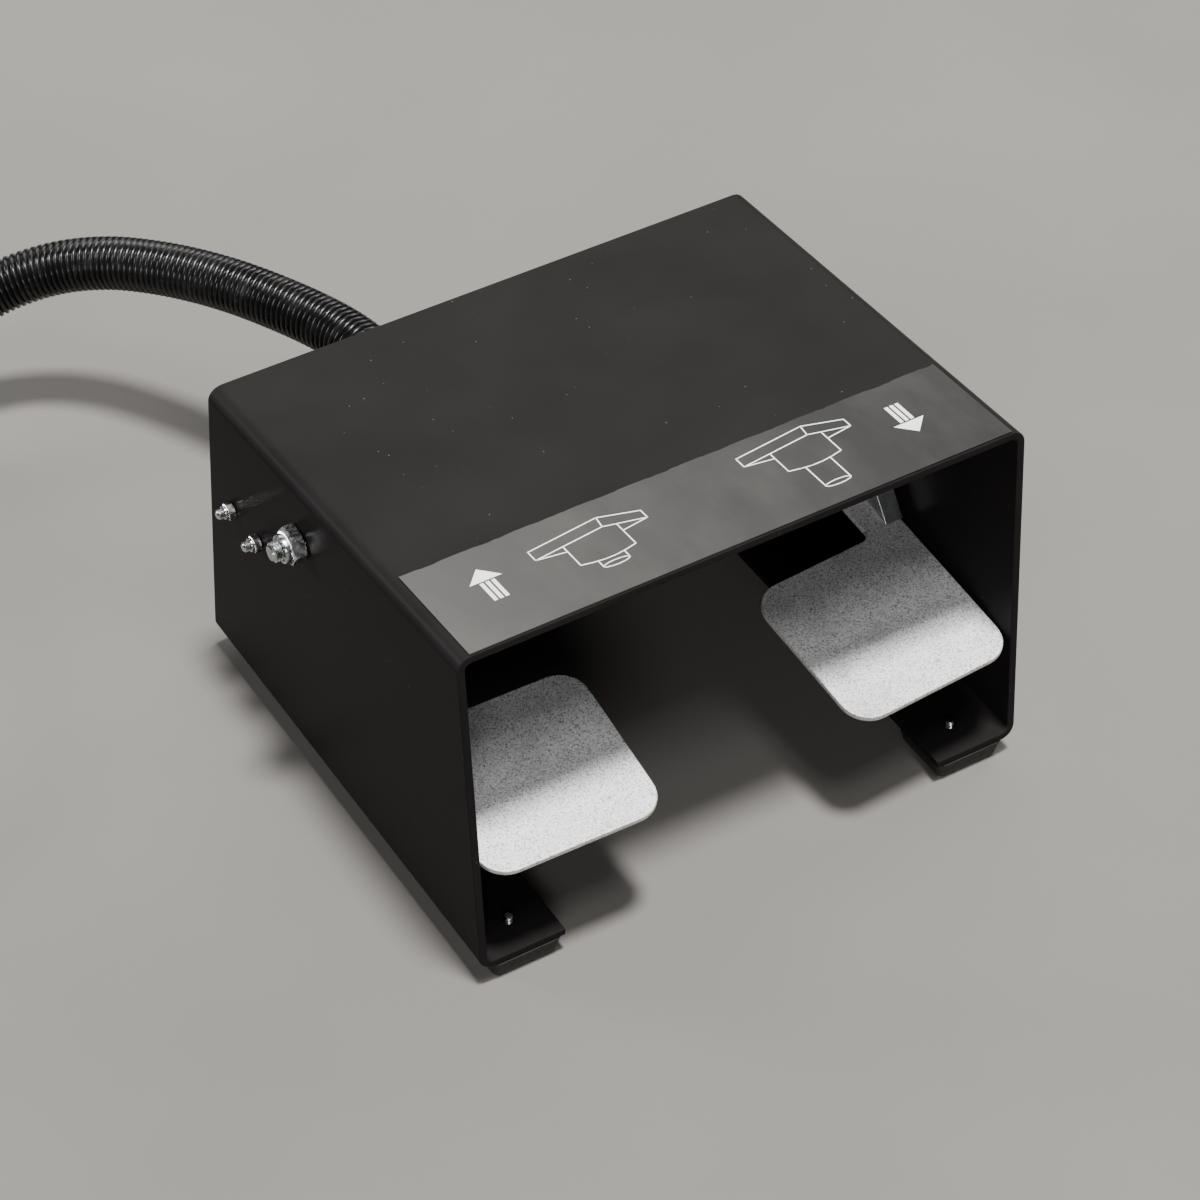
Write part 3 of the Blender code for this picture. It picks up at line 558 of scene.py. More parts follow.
# %% [markdown]
# ## Plates cut and bent from sheet
#
# The levers, switch brackets and rear panel already have the right outline as solids. Copying one and
# merging its loose triangles gives a clean start: flat faces are dissolved into single ones, and a
# small bevel stands for the edge that the press or the plating leaves. Drawing each outline again
# would only risk a mismatch with the moving solids.

# %% Round the plates' edges
def from_solid(solid, name, edge, segments=2):
    """A copy of a solid with merged points, whole flat faces and rounded edges."""
    piece = another(frame["nodes"][solid], name, Matrix.Identity(4))
    piece.parent = None
    for key in [k for k in piece.keys() if k.startswith("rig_")]:
        del piece[key]
    only(piece)
    editing(True)
    bpy.ops.mesh.select_all(action="SELECT")
    bpy.ops.mesh.remove_doubles(threshold=0.00001)
    bpy.ops.mesh.dissolve_limited(angle_limit=math.radians(1))
    editing(False)
    return soften(piece, edge, segments, 30)


for side in ("left", "right"):
    put(from_solid(f"{side}_lever", f"{side}_lever_bar", 0.0009, 3), f"{side}_pedal", "zinc",
        f"{side}_lever")
    put(from_solid(f"{side}_switch_bracket", f"{side}_switch_plate", 0.0003), "guard", "zinc",
        f"{side}_switch_bracket")
put(from_solid("rear_panel", "rear_cover", 0.0003), "guard", "guard_paint", "rear_panel")
print("levers, brackets and rear panel rounded")

# %% [markdown]
# ## The pedal plates
#
# Each pedal ends in a 3 mm plate with corners of 15 mm. A narrow tail on its outer side runs back to
# the lever. A cube is cut in two along the tail's inner line with bisect, and the back face of the
# narrow part is extruded. Each upright corner is then bevelled to its own radius, the inner one at the
# tail's root included. Last, the plate is turned and tilted to the angle at which it hangs.

# %% Shape the pedal plates
plate_width, plate_length, plate_thick, plate_corner = 0.0935, 0.090, 0.003, 0.015
tail_width, tail_length, plate_tilt = 0.0205, 0.050, math.radians(10)
plate_yaw = {"left": math.radians(-1.0), "right": math.radians(3.5)}
tail_line = plate_width / 2 - tail_width
for side, sign in (("left", -1), ("right", 1)):
    plate = block(f"{side}_foot_plate", (0, 0, -plate_thick / 2), (plate_width, plate_length, plate_thick))
    editing(True)
    bpy.ops.mesh.select_all(action="SELECT")
    bpy.ops.mesh.bisect(plane_co=(sign * tail_line, 0, 0), plane_no=(1, 0, 0))
    pick("faces", lambda f: f.normal.y > 0.9 and f.calc_center_median().x * sign > tail_line)
    bpy.ops.mesh.extrude_region_move(TRANSFORM_OT_translate={"value": (0, tail_length, 0)})
    for radius, wanted in (
            (plate_corner, lambda p: p.y < 0 or (p.y < 0.05 and p.x * sign < 0)),
            (0.005, lambda p: p.y < 0.05 and 0 < p.x * sign < tail_line + 0.001 and p.y > 0),
            (0.004, lambda p: p.y > 0.08)):
        corners = pick("edges", lambda e: runs(e, 2) and wanted(middle(e))
                       and abs(abs(middle(e).y) - plate_length / 2) < 0.0505
                       and (abs(abs(middle(e).x) - plate_width / 2) < 0.0001
                            or (middle(e).y > 0.04 and abs(middle(e).x * sign - tail_line) < 0.0001)))
        bpy.ops.mesh.bevel(offset=radius, segments=10, affect="EDGES")
        print(side, "corners of", radius, ":", corners)
    bpy.ops.mesh.select_all(action="SELECT")
    bpy.ops.mesh.dissolve_limited(angle_limit=math.radians(1))
    editing(False)
    soften(plate, 0.0006, 3)
    plate.data.transform(Matrix.Translation((sign * 0.0968, -0.0925, 0.0775))
                         @ Matrix.Rotation(plate_tilt, 4, "X") @ Matrix.Rotation(plate_yaw[side], 4, "Z"))
    put(plate, f"{side}_pedal", "pedal_paint", f"{side}_pedal_plate")

# %% [markdown]
# ## Hubs, bumpers and feet
#
# A bronze bush lines each lever's hub, and a rubber bumper stops the lever's arm at rest. The feet are
# square blocks of rubber that taper towards the floor: a cube's lower face is made smaller, its
# upright edges are rounded, and a recess takes the screw's head.

# %% Make the bushes, bumpers and feet
bush_edge = 0.0004
for side in ("left", "right"):
    low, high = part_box(f"{side}_pivot_bush")
    length, wall = high.x - low.x, (high.z - low.z) / 2
    bush = turned(f"{side}_bronze_bush", [
        (tube_bore, 0), (wall - bush_edge, 0), (wall, bush_edge), (wall, length - bush_edge),
        (wall - bush_edge, length), (tube_bore, length)], 40, True)
    put(lay(shaded(bush), "X", (low.x, axle_place.y, axle_place.z)), f"{side}_pedal", "bushes",
        f"{side}_pivot_bush")
    low, high, centre = spot(f"{side}_rest_bumper")
    bumper = turned(f"{side}_rubber_bumper", [
        (0.0016, 0.1300), (0.0025, 0.1306), (0.0025, 0.1333), (0.0045, 0.1333), (0.0045, 0.1362),
        (0.0043, 0.1369), (0.0037, 0.1374), (0.0022, high.z)], 32)
    bumper.data.transform(Matrix.Translation((centre.x, centre.y, 0)))
    put(shaded(bumper), "guard", "rubber", f"{side}_rest_bumper")
for solid in [name for name in frame["nodes"] if name.startswith("foot_") and "screw" not in name]:
    low, high, centre = spot(solid)
    foot = block(f"{solid}_rubber", centre, high - low)
    editing(True)
    pick("faces", lambda f: f.normal.z < -0.9)
    bpy.ops.transform.resize(value=(0.895, 0.895, 1), center_override=(centre.x, centre.y, low.z))
    pick("edges", lambda e: abs(e.verts[0].co.z - e.verts[1].co.z) > 0.005)
    bpy.ops.mesh.bevel(offset=0.004, segments=6, affect="EDGES")
    pick("faces", lambda f: f.normal.z < -0.9)
    bpy.ops.mesh.inset(thickness=0.0022)
    bpy.ops.mesh.extrude_region_move(TRANSFORM_OT_translate={"value": (0, 0, 0.0008)})
    editing(False)
    drill(foot, 0.0055, 0.0106, "Z", (centre.x, centre.y, 0))
    drill(foot, small_hole, 0.03, "Z", (centre.x, centre.y, 0))
    put(soften(foot, 0.0004, 2), "guard", "rubber", solid)
print("bushes, bumpers and feet made")

# %% [markdown]
# ## Return springs
#
# A compression spring pushes each lever back. Its wire is a circle that the Screw modifier winds up,
# and flat rings close it at both ends, as ground end coils do. It shortens when the pedal goes down.

# %% Wind the springs
for side in ("left", "right"):
    low, high, centre = spot(f"{side}_return_spring")
    wire = 0.0007
    coil = (high.x - low.x) / 2 - wire
    turns, rise = 5, high.z - low.z - 4 * wire
    bpy.ops.mesh.primitive_circle_add(vertices=12, radius=wire, location=(coil, 0, low.z + 2 * wire),
                                      rotation=(math.radians(90), 0, 0), fill_type="NGON")
    spring = settle(f"{side}_wire_spring")
    modify(spring, "SCREW", screw_offset=rise / turns, iterations=turns, steps=28, render_steps=28,
           use_merge_vertices=False)
    rings = []
    for z in (low.z + wire, high.z - wire):
        bpy.ops.mesh.primitive_torus_add(major_radius=coil, minor_radius=wire, major_segments=36,
                                         minor_segments=12, location=(0, 0, z))
        rings.append(settle(f"{side}_end_coil"))
    spring = face_out(joined(f"{side}_wire_spring", spring, *rings))
    spring.data.transform(Matrix.Translation((centre.x, centre.y, 0)))
    put(shaded(spring, 60), "guard", "spring_steel", f"{side}_return_spring")
    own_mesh(spring)
print("springs made")

# %% [markdown]
# ## Limit switches
#
# Each switch is a moulded block on the side wall, with a neck for its plunger. The lid's seam is an
# inset, pushed in, and two screw wells are drilled through for the bolts. The brass plunger rides on a
# body of its own, because it slides while the block stays.

# %% Mould the switches
for side, sign in (("left", -1), ("right", 1)):
    low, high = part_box(f"{side}_switch_body")
    neck_length = 0.005
    low.y += neck_length
    centre = (low + high) / 2
    moulding = block(f"{side}_switch_block", centre, high - low)
    editing(True)
    pick("faces", lambda f: f.normal.x * sign < -0.9)
    bpy.ops.mesh.inset(thickness=0.0014)
    bpy.ops.mesh.extrude_region_move(TRANSFORM_OT_translate={"value": (sign * 0.0006, 0, 0)})
    bpy.ops.mesh.inset(thickness=0.0006)
    bpy.ops.mesh.extrude_region_move(TRANSFORM_OT_translate={"value": (-sign * 0.0006, 0, 0)})
    editing(False)
    soften(moulding, 0.0005, 2)
    for end in ("front", "rear"):
        bolt_middle = spot(f"{side}_{end}_switch_bolt")[2]
        drill(moulding, small_hole, 0.04, "X", (centre.x, bolt_middle.y, bolt_middle.z))
    drill(moulding, 0.0036, 0.026, "Y", (centre.x, low.y - 0.003, centre.z))
    neck = turned(f"{side}_switch_neck", [
        (0.0034, 0.0068), (0.0034, 0.0002), (0.0038, 0), (0.0054, 0), (0.0060, 0.0006), (0.0060, 0.0014),
        (0.0054, 0.0017), (0.0054, 0.0022), (0.0060, 0.0025), (0.0060, 0.0068)], 36, True)
    lay(neck, "Y", (centre.x, low.y - neck_length, centre.z))
    put(joined(f"{side}_switch_block", moulding, shaded(neck)), "guard", "switch_plastic",
        f"{side}_switch_body")
    low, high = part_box(f"{side}_switch_plunger")
    plunger = turned(f"{side}_brass_plunger", [
        (0.0006, 0), (0.0014, 0.0002), (0.0022, 0.0007), (0.0027, 0.0014), (0.0030, 0.0024),
        (0.0030, 0.0052), (0.0028, 0.0054), (0.0028, 0.0058), (0.0030, 0.0060),
        (0.0030, high.y - low.y)], 36)
    lay(shaded(plunger), "Y", (centre.x, low.y, centre.z))
    put(plunger, f"{side}_plunger", "plungers", f"{side}_switch_plunger")
print("switches made")

# %% [markdown]
# ## Gland, end fitting and their nuts
#
# The conduit is held at each end. At the guard a plastic gland clamps it: a hexagon against the panel,
# a ribbed nut above and a soft lip. At the loose end is a plated fitting with a knurled sleeve, a
# hexagon and a threaded nose that goes into the machine's box, with a locknut on it. Ribs and knurls
# are small blades set round in a circle and joined to the turned body.

# %% Make the gland and the fitting
def ribbed(name, count, radius, size, height):
    """Small upright blades set in a circle of that radius round Z."""
    blades = []
    for k in range(count):
        blade = block(f"{name}_{k}", (radius, 0, height), size)
        blade.data.transform(Matrix.Rotation(2 * math.pi * k / count, 4, "Z"))
        blades.append(blade)
    ring = joined(name, *blades)
    return soften(ring, min(size[:2]) * 0.3, 2, 30)


slope = math.atan2(back_lean, back_height)
gland_high, gland_middle = spot("conduit_gland")[1:]
guard_depth, panel_inset, gland_z, grip_radius = 0.2685, 0.004, 0.1140, 0.0175
face_y = guard_depth / 2 - panel_inset - (gland_z - cover_floor) * math.tan(slope)
reach = (gland_high.y - face_y - grip_radius * math.sin(slope)) / math.cos(slope)
tail = 0.0110
sleeve = turned("gland_sleeve", [
    *[(r, z - tail) for r, z in thread(0.0122, 0.0015, 0.0, 0.0108)],
    (0.0122, 0.0003), (0.0160, 0.0003), (0.0160, 0.0072), (0.0152, 0.0080), (0.0152, reach - 0.0022),
    (0.0148, reach - 0.0008), (0.0138, reach), (0.0100, reach), (0.0095, reach - 0.0010),
    (0.0095, -tail)], 48, True)
base = hexagon("gland_hexagon", 0.0320, 0.0067, 0.0120)
base.data.transform(Matrix.Translation((0, 0, 0.0003)))
grips = ribbed("gland_grip", 24, 0.01545, (0.0026, 0.0018, reach - 0.0115), (reach + 0.0070) / 2)
gland = joined("cable_gland", shaded(sleeve), base, grips)
tilt = Matrix.Translation((gland_middle.x, face_y, gland_z)) @ Matrix.Rotation(slope, 4, "X") @ along("Y")
gland.data.transform(tilt)
put(gland, "guard", "gland_plastic", "conduit_gland")
nut = hexagon("gland_nut", 0.0300, 0.0050, 0.0123)
nut.data.transform(tilt @ Matrix.Translation((0, 0, -0.0115)))
put(nut, "guard", "fasteners", "gland_locknut")

end_place = Vector(hose_line[-1])
heading = Vector((*(hose_line[-1] - hose_line[-2])[:2], 0)).normalized()
heading_turn = math.atan2(heading.y, heading.x) - math.pi / 2
facing = Matrix.Translation(end_place) @ Matrix.Rotation(heading_turn, 4, "Z") @ along("Y")
nose = [(r, z + 0.0302) for r, z in thread(0.0125, 0.0015, 0.0, 0.0145)]
body = turned("fitting_body", [
    (0.0100, 0.0005), (0.0168, 0.0003), (0.0175, 0.0012), (0.0175, 0.0185), (0.0160, 0.0190),
    (0.0160, 0.0300), *nose, (0.0118, 0.0460), (0.0104, 0.0460), (0.0100, 0.0454)], 48, True)
spanner = hexagon("fitting_hexagon", 0.0322, 0.0104, 0.0122)
spanner.data.transform(Matrix.Translation((0, 0, 0.0193)))
knurl = ribbed("fitting_knurl", 36, 0.01740, (0.0010, 0.0014, 0.0130), 0.0095)
fitting = joined("conduit_fitting", shaded(body), spanner, knurl)
fitting.data.transform(facing)
put(fitting, "guard", "zinc", "conduit_end_fitting")
nut = hexagon("fitting_locknut", 0.0310, 0.0050, 0.0124)
nut.data.transform(facing @ Matrix.Translation((0, 0, 0.0315)))
put(nut, "guard", "zinc", "conduit_end_locknut")
print("gland reach:", round(reach, 4), "fitting at", tuple(round(c, 4) for c in end_place))

# %% [markdown]
# ## The label and its pictograms
#
# A grey laminate covers the front of the top. Its back edge was torn rather than cut, so that edge is
# subdivided and its points are moved a little, at random but from a fixed seed. The white drawings are
# printed on it in the cell after this one.

# %% Lay the label
low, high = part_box("front_label")
top_slope = math.atan2(front_height - back_height, size.y - front_lean - back_lean)
label_depth, label_thick = 0.0635, 0.0005
label_front = -size.y / 2 + front_lean + 0.0008
label_middle = label_front + math.cos(top_slope) * label_depth / 2
top_z = cover_floor + front_height - (label_middle + size.y / 2 - front_lean) * math.tan(top_slope)
on_top = Matrix.Translation((0, label_middle, top_z + 0.0003)) @ Matrix.Rotation(-top_slope, 4, "X")
label_width = high.x - low.x
label = block("laminate_label", (0, 0, label_thick / 2), (label_width, label_depth, label_thick))
editing(True)
pick("edges", lambda e: runs(e, 0))
bpy.ops.mesh.subdivide(number_cuts=160)
editing(False)
tear = {}
for point in label.data.vertices:
    if point.co.y > label_depth / 2 - 0.00001 and abs(point.co.x) < label_width / 2 - 0.0005:
        place = round(point.co.x, 5)
        tear.setdefault(place, 0.00035 * math.sin(place * 210) + random.uniform(-0.00045, 0.00015))
        point.co.y += min(tear[place], 0.0) - 0.0002
label.data.transform(on_top)
put(shaded(label, 20), "guard", "label", "front_label")
print("label points:", len(label.data.vertices))

# %% [markdown]
# Each printed line is a short flat bar, and all of them are joined into one piece. The drawings show a
# plain ram plate with its block and ram, short when it is up and long when it is down, with an arrow
# for the direction. Their points are in millimetres from the middle of the label's front edge.

# %% Print the pictograms
print_thick = 0.00006


def stroke(start, end, width=0.00062):
    """One printed line between two points of the label."""
    a, b = Vector(start) / 1000, Vector(end) / 1000
    line, halfway = b - a, (a + b) / 2
    bpy.ops.mesh.primitive_cube_add(size=1, location=(0, 0, 0),
                                    scale=(line.length + width * 0.7, width, print_thick))
    place = Matrix.Translation((halfway.x, halfway.y - label_depth / 2, label_thick + print_thick / 2))
    return settle("stroke", on_top @ place @ Matrix.Rotation(math.atan2(line.y, line.x), 4, "Z"))


def pictogram(centre, ram):
    """A plate seen from its corner, the block under it and a ram of that length, as outlines."""
    x, y = centre
    corners = [(-29, 0), (9, 4.5), (28.5, -2), (28.5, -8), (8, -2.6), (-29, -7)]
    lines = list(zip(corners, corners[1:] + corners[:1])) + [((9, 4.5), (8, -2.6))]
    lines += [((-14, -5.7), (-14, -21)), ((14.5, -4.6), (14.5, -21)), ((-29, -7), (-14, -9.5)),
              ((28.5, -8), (14.5, -10))]
    bulge = [(-14 + 28.5 * t, -21 - 2.2 * math.sin(math.pi * t)) for t in (0, 0.2, 0.4, 0.6, 0.8, 1)]
    lines += list(zip(bulge, bulge[1:]))
    end = -22.5 - ram
    lines += [((-6, -23), (-6, end)), ((7.5, -23), (7.5, end))]
    oval = [(0.75 + 6.75 * math.cos(t), end + 1.7 * math.sin(t)) for t in np.arange(13) * math.pi / 6]
    lines += list(zip(oval, oval[1:]))
    return [stroke((x + a, y + b), (x + c, y + d)) for (a, b), (c, d) in lines]


def arrow(centre, way):
    """A wide head and a shaft of three stripes; way is 1 towards the back and -1 towards the front."""
    x, y = centre
    bpy.ops.mesh.primitive_cylinder_add(vertices=3, radius=1, depth=print_thick, location=(0, 0, 0))
    head = settle("arrow_head", Matrix.Diagonal((0.0095, 0.0060 * way, 1, 1)))
    head_y = (y + 3.4 * way) / 1000 - label_depth / 2
    head.data.transform(on_top @ Matrix.Translation((x / 1000, head_y, label_thick + print_thick / 2)))
    stripes = [stroke((x + k, y - 1.2 * way), (x + k, y - 13.5 * way), 0.0019) for k in (-2.9, 0, 2.9)]
    return [head, *stripes]


marks = [*pictogram((-57.8, 46.6), 5), *pictogram((55.6, 52.6), 17),
         *arrow((-112, 39.5), 1), *arrow((108, 33.0), -1)]
put(face_out(joined("printed_pictograms", *marks)), "guard", "label")
print("printed strokes:", len(marks))

# %% [markdown]
# ## How the finishes are built
#
# Every finish below is made of procedural nodes, so it needs no picture. Patterns read Object
# coordinates, which are metres here, because every piece has its origin at the world's origin. A
# pattern's scale is therefore one divided by the size of its detail in metres. `colour` turns a hex
# colour into the linear numbers that the shader wants, and `node` adds one node with its links.
# `finish` starts a material with the noise patterns that it needs, largest blotches first. `coat`
# ends it: a base colour, thin colours over it, a roughness and a relief, each driven by a pattern.

# %% Helpers for finishes
def colour(code):
    """A hex sRGB colour as linear red, green, blue and alpha."""
    parts = [int(code[k:k + 2], 16) / 255 for k in (1, 3, 5)]
    return (*[c / 12.92 if c <= 0.04045 else ((c + 0.055) / 1.055) ** 2.4 for c in parts], 1.0)


def node(tree, kind, inputs, output=0, stops=(), **settings):
    """Adds a node, sets or links its inputs by name or in order, and returns one of its outputs."""
    made = tree.nodes.new("ShaderNode" + kind)
    for name, value in settings.items():
        setattr(made, name, value)
    for socket, value in (inputs if isinstance(inputs, dict) else dict(enumerate(inputs))).items():
        if isinstance(value, bpy.types.NodeSocket):
            tree.links.new(value, made.inputs[socket])
        else:
            made.inputs[socket].default_value = value
    while stops and len(made.color_ramp.elements) < len(stops):
        made.color_ramp.elements.new(0.5)
    for k, (position, code) in enumerate(stops):
        made.color_ramp.elements[k].position = position
        made.color_ramp.elements[k].color = colour(code)
    return made.outputs[output]


def finish(name, *grains, **constants):
    """A material with constants on its shader, and a noise for each (metres, detail, roughness)."""
    made = bpy.data.materials.new(name)
    made.use_nodes = True
    tree = made.node_tree
    for socket, value in constants.items():
        tree.nodes["Principled BSDF"].inputs[socket].default_value = value
    where = node(tree, "TexCoord", (), "Object")
    noises = []
    for size, detail, *rough in grains:
        noises.append(node(tree, "TexNoise", {"Vector": where, "Scale": 1 / size, "Detail": detail,
                                              "Roughness": rough[0] if rough else 0.5}))
    return made, tree, where, noises


def coat(made, base_pattern, stops, overlays=(), roughness=None, relief=None):
    """Joins patterns to a finish's shader: base colour, colours over it, roughness and relief."""
    tree = made.node_tree
    shader = tree.nodes["Principled BSDF"]
    base = node(tree, "ValToRGB", (base_pattern,), stops=stops)
    for amount, code in overlays:
        base = node(tree, "Mix", {0: amount, 6: base, 7: colour(code)}, 2, data_type="RGBA")
    tree.links.new(base, shader.inputs["Base Color"])
    if roughness:
        tree.links.new(node(tree, "MapRange", roughness), shader.inputs["Roughness"])
    if relief:
        height, distance, strength = relief
        bump = {"Height": height, "Distance": distance, "Strength": strength}
        tree.links.new(node(tree, "Bump", bump), shader.inputs["Normal"])


print("finish helpers ready")

# %% [markdown]
# ## Black powder coat
#
# The guard is powder coated: dry paint powder is baked on the steel and flows into a satin skin with a
# faint orange peel, a ripple of a millimetre or two. It is nearly black and reflects little, so the
# light shows on it as a soft grey. Dust settles on it in specks of a third of a millimetre, and feet
# and boxes leave hair-thin pale scratches. A Map Range node takes the numbers in order: the pattern,
# the range that it's read over, then what the two ends become.

# %% Powder coat
powder_coat, tree, where, (cloud, peel) = finish("satin_black_powder_coat", (0.06, 3),
                                                 (0.0014, 2), IOR=1.07)
grit = node(tree, "TexVoronoi", {"Vector": where, "Scale": 1 / 0.009})
drawn_out = node(tree, "Mapping", {"Vector": where, "Scale": (900, 26, 26),
                                   "Rotation": (0, 0, math.radians(32))})
scratch = node(tree, "TexNoise", {"Vector": drawn_out, "Scale": 1.0, "Detail": 1.0})
specks = node(tree, "MapRange", (grit, 0.012, 0.045, 0.6, 0.0))
scratches = node(tree, "MapRange", (scratch, 0.78, 0.83, 0.0, 0.12))
coat(powder_coat, cloud, [(0.3, "#1E1C1C"), (0.7, "#232121")],
     [(specks, "#8A8885"), (scratches, "#5A5858")], (cloud, 0.3, 0.7, 0.31, 0.37), (peel, 0.00004, 0.6))
print(powder_coat.name, "nodes:", len(tree.nodes))

# %% [markdown]
# ## Laminate and printing ink
#
# The label is a plastic film with an embossed matt face, so light spreads on it more than on the paint.
# It has yellowed and rubbed unevenly. Its colour also holds painted light: paler at the operator's
# left end and darker towards the right, as the light falls on it. The ink is a thick, flat white,
# with pinholes where the screen's mesh didn't fill.

# %% Laminate and ink
laminate, tree, where, (emboss,) = finish("embossed_grey_laminate", (0.0007, 1), IOR=1.3)
across = node(tree, "SeparateXYZ", (where,), "X")
# painted light: the label's colour is made lighter at the left end and darker at the right, standing in for
# how the light falls across it
painted_light_falloff = node(tree, "MapRange", (across, -0.15, 0.15, 0.0, 1.0))
drawn_out = node(tree, "Mapping", {"Vector": where, "Scale": (1, 0.5, 1)})
smear = node(tree, "TexNoise", {"Vector": drawn_out, "Scale": 1 / 0.035, "Detail": 4.0, "Roughness": 0.6})
rubbed = node(tree, "MapRange", (smear, 0.42, 0.72, 0.0, 0.13))
# the ramp's stops paint that light falloff, pale at the left and near black at the right; the rubbed patches
# over it are real wear
coat(laminate, painted_light_falloff, [(0.0, "#484644"), (0.3, "#373634"), (0.75, "#1F1E1D"), (1.0, "#121111")],
     [(rubbed, "#7A7772")], (smear, 0.3, 0.7, 0.34, 0.48), (emboss, 0.00003, 0.5))

ink, tree, where, (cloud, pinholes) = finish("white_screen_ink", (0.01, 2), (0.0006, 2), IOR=1.48)
holes = node(tree, "MapRange", (pinholes, 0.66, 0.74, 0.0, 0.5))
coat(ink, cloud, [(0.3, "#EDECE8"), (0.7, "#F7F6F3")], [(holes, "#8D8B88")], (holes, 0.0, 0.5, 0.45, 0.6))
print("label finishes:", laminate.name, ink.name)

# %% [markdown]
# ## Silver metallic paint
#
# The foot plates have a coarse, gritty metallic paint, so that a shoe doesn't slip. Its flakes and
# grains are about half a millimetre. Each one tips the light its own way, so the plate sparkles:
# bright where it faces the light and speckled dark beside it. A Voronoi pattern gives one random value
# a grain, which sets its gloss and its colour. The colour is partly the grit's own tone and partly a
# painted sparkle, with some grains painted up to pure white as glints and others darker, and a fine
# noise roughens the surface.

# %% Metallic paint
metallic_paint, tree, where, (cloud, gritty) = finish("gritty_silver_metallic_paint", (0.02, 4, 0.6),
                                                      (0.0009, 3, 0.7), Metallic=0.45)
grain = node(tree, "TexVoronoi", {"Vector": where, "Scale": 1 / 0.00055}, "Color")
# partly painted sparkle: each grain's random value paints its colour from dim grey up to pure white, standing
# in for glints, and also sets its gloss
grain_tone_and_sparkle = node(tree, "SeparateColor", (grain,), "Red")
dirt = node(tree, "MapRange", (cloud, 0.5, 0.75, 0.0, 0.28))
coat(metallic_paint, grain_tone_and_sparkle, [(0.0, "#8E8E8D"), (0.3, "#DDDDDC"), (0.8, "#F2F2F1"), (1.0, "#FFFFFF")],
     [(dirt, "#6F6E6C")], (grain_tone_and_sparkle, 0.0, 1.0, 0.42, 0.6), (gritty, 0.00022, 0.7))
print(metallic_paint.name, "nodes:", len(tree.nodes))

# %% [markdown]
# ## Zinc-plated steel
#
# Bright zinc is a thin, cool white metal skin. On the levers and brackets it lies over drawn and rolled
# steel, whose fine lines show through: a noise that is stretched far along one direction.

# %% Zinc plate
zinc_plate, tree, where, (cloud,) = finish("bright_zinc_on_rolled_steel", (0.006, 3), Metallic=1.0)
drawn_out = node(tree, "Mapping", {"Vector": where, "Scale": (2600, 130, 130)})
lines = node(tree, "TexNoise", {"Vector": drawn_out, "Scale": 1.0, "Detail": 2.0})
rolled = node(tree, "MapRange", (lines, 0.5, 0.72, 0.0, 0.45))
coat(zinc_plate, cloud, [(0.3, "#A9ABAD"), (0.7, "#C9CBCC")], [(rolled, "#77797B")],
     (cloud, 0.3, 0.7, 0.3, 0.44), (lines, 0.00003, 0.5))
print(zinc_plate.name, "nodes:", len(tree.nodes))

# %% [markdown]
# ## Hose and rubber
#
# The hose is extruded nylon with carbon black: glossy, with a wet-looking line of light on every rib.
# The feet are black rubber, dull, with floor dust rubbed into the lower edge: the dust fades out over
# the lowest four millimetres, and a noise breaks it up.

# %% Hose and rubber
hose_nylon, tree, where, (film, ripple) = finish("extruded_black_nylon", (0.012, 4, 0.65),
                                                 (0.0011, 2), IOR=1.4)
dust = node(tree, "MapRange", (film, 0.55, 0.8, 0.0, 0.12))
coat(hose_nylon, film, [(0.3, "#0B0B0C"), (0.7, "#121213")], [(dust, "#6B6864")],
     (film, 0.3, 0.7, 0.17, 0.3), (ripple, 0.00003, 0.4))

rubber, tree, where, (patches, cloud, gloss, grain) = finish(
    "moulded_black_rubber", (0.004, 4, 0.7), (0.003, 3), (0.002, 2), (0.0008, 3), IOR=1.52)
height = node(tree, "SeparateXYZ", (where,), "Z")
floor_dust = node(tree, "MapRange", (height, 0.0, 0.004, 0.35, 0.0))
patchy = node(tree, "Math", (floor_dust, patches), operation="MULTIPLY")
coat(rubber, cloud, [(0.3, "#101010"), (0.7, "#1A1A19")], [(patchy, "#8B8781")],
     (gloss, 0.3, 0.7, 0.62, 0.8), (grain, 0.00006, 0.7))
print("black finishes:", hose_nylon.name, rubber.name)

# %% [markdown]
# ## Bronze and brass
#
# The bushes are sintered bronze: pressed powder with open pores that hold oil, so they are brown and
# speckled. The plungers are turned brass with fine rings from the tool, which a wave pattern gives.

# %% Bronze and brass
bronze, tree, where, _ = finish("oiled_sintered_bronze", Metallic=1.0)
pores = node(tree, "TexVoronoi", {"Vector": where, "Scale": 1 / 0.0006})
coat(bronze, pores, [(0.08, "#4A3018"), (0.3, "#9A6B35"), (0.8, "#B98548")], (),
     (pores, 0.1, 0.5, 0.55, 0.36), (pores, 0.00005, 0.6))

brass, tree, where, (gloss,) = finish("turned_brass", (0.001, 2), Metallic=1.0)
rings = node(tree, "TexWave", {"Vector": where, "Scale": 1 / 0.0008, "Distortion": 0.6}, "Fac",
             bands_direction="Y")
coat(brass, rings, [(0.0, "#B08A45"), (1.0, "#D8B469")], (),
     (gloss, 0.3, 0.7, 0.2, 0.34), (rings, 0.00001, 0.5))
print("small metals:", bronze.name, brass.name)

# %% [markdown]
# ## Plainer finishes
#
# The rest need three noises each, for colour, gloss and grain, so one table makes them all. Nuts and
# screws are smoother zinc, with cloudy patches where the passivation bath left a film. The nylon rings
# in the lock nuts are white. The gland and the switches are moulded against a spark-eroded steel, which
# leaves a fine even grain. The leads' sheath is soft PVC, smoother than rubber and less bright than the
# hose. The springs are drawn wire, grey and slightly blued by the heat that sets them.

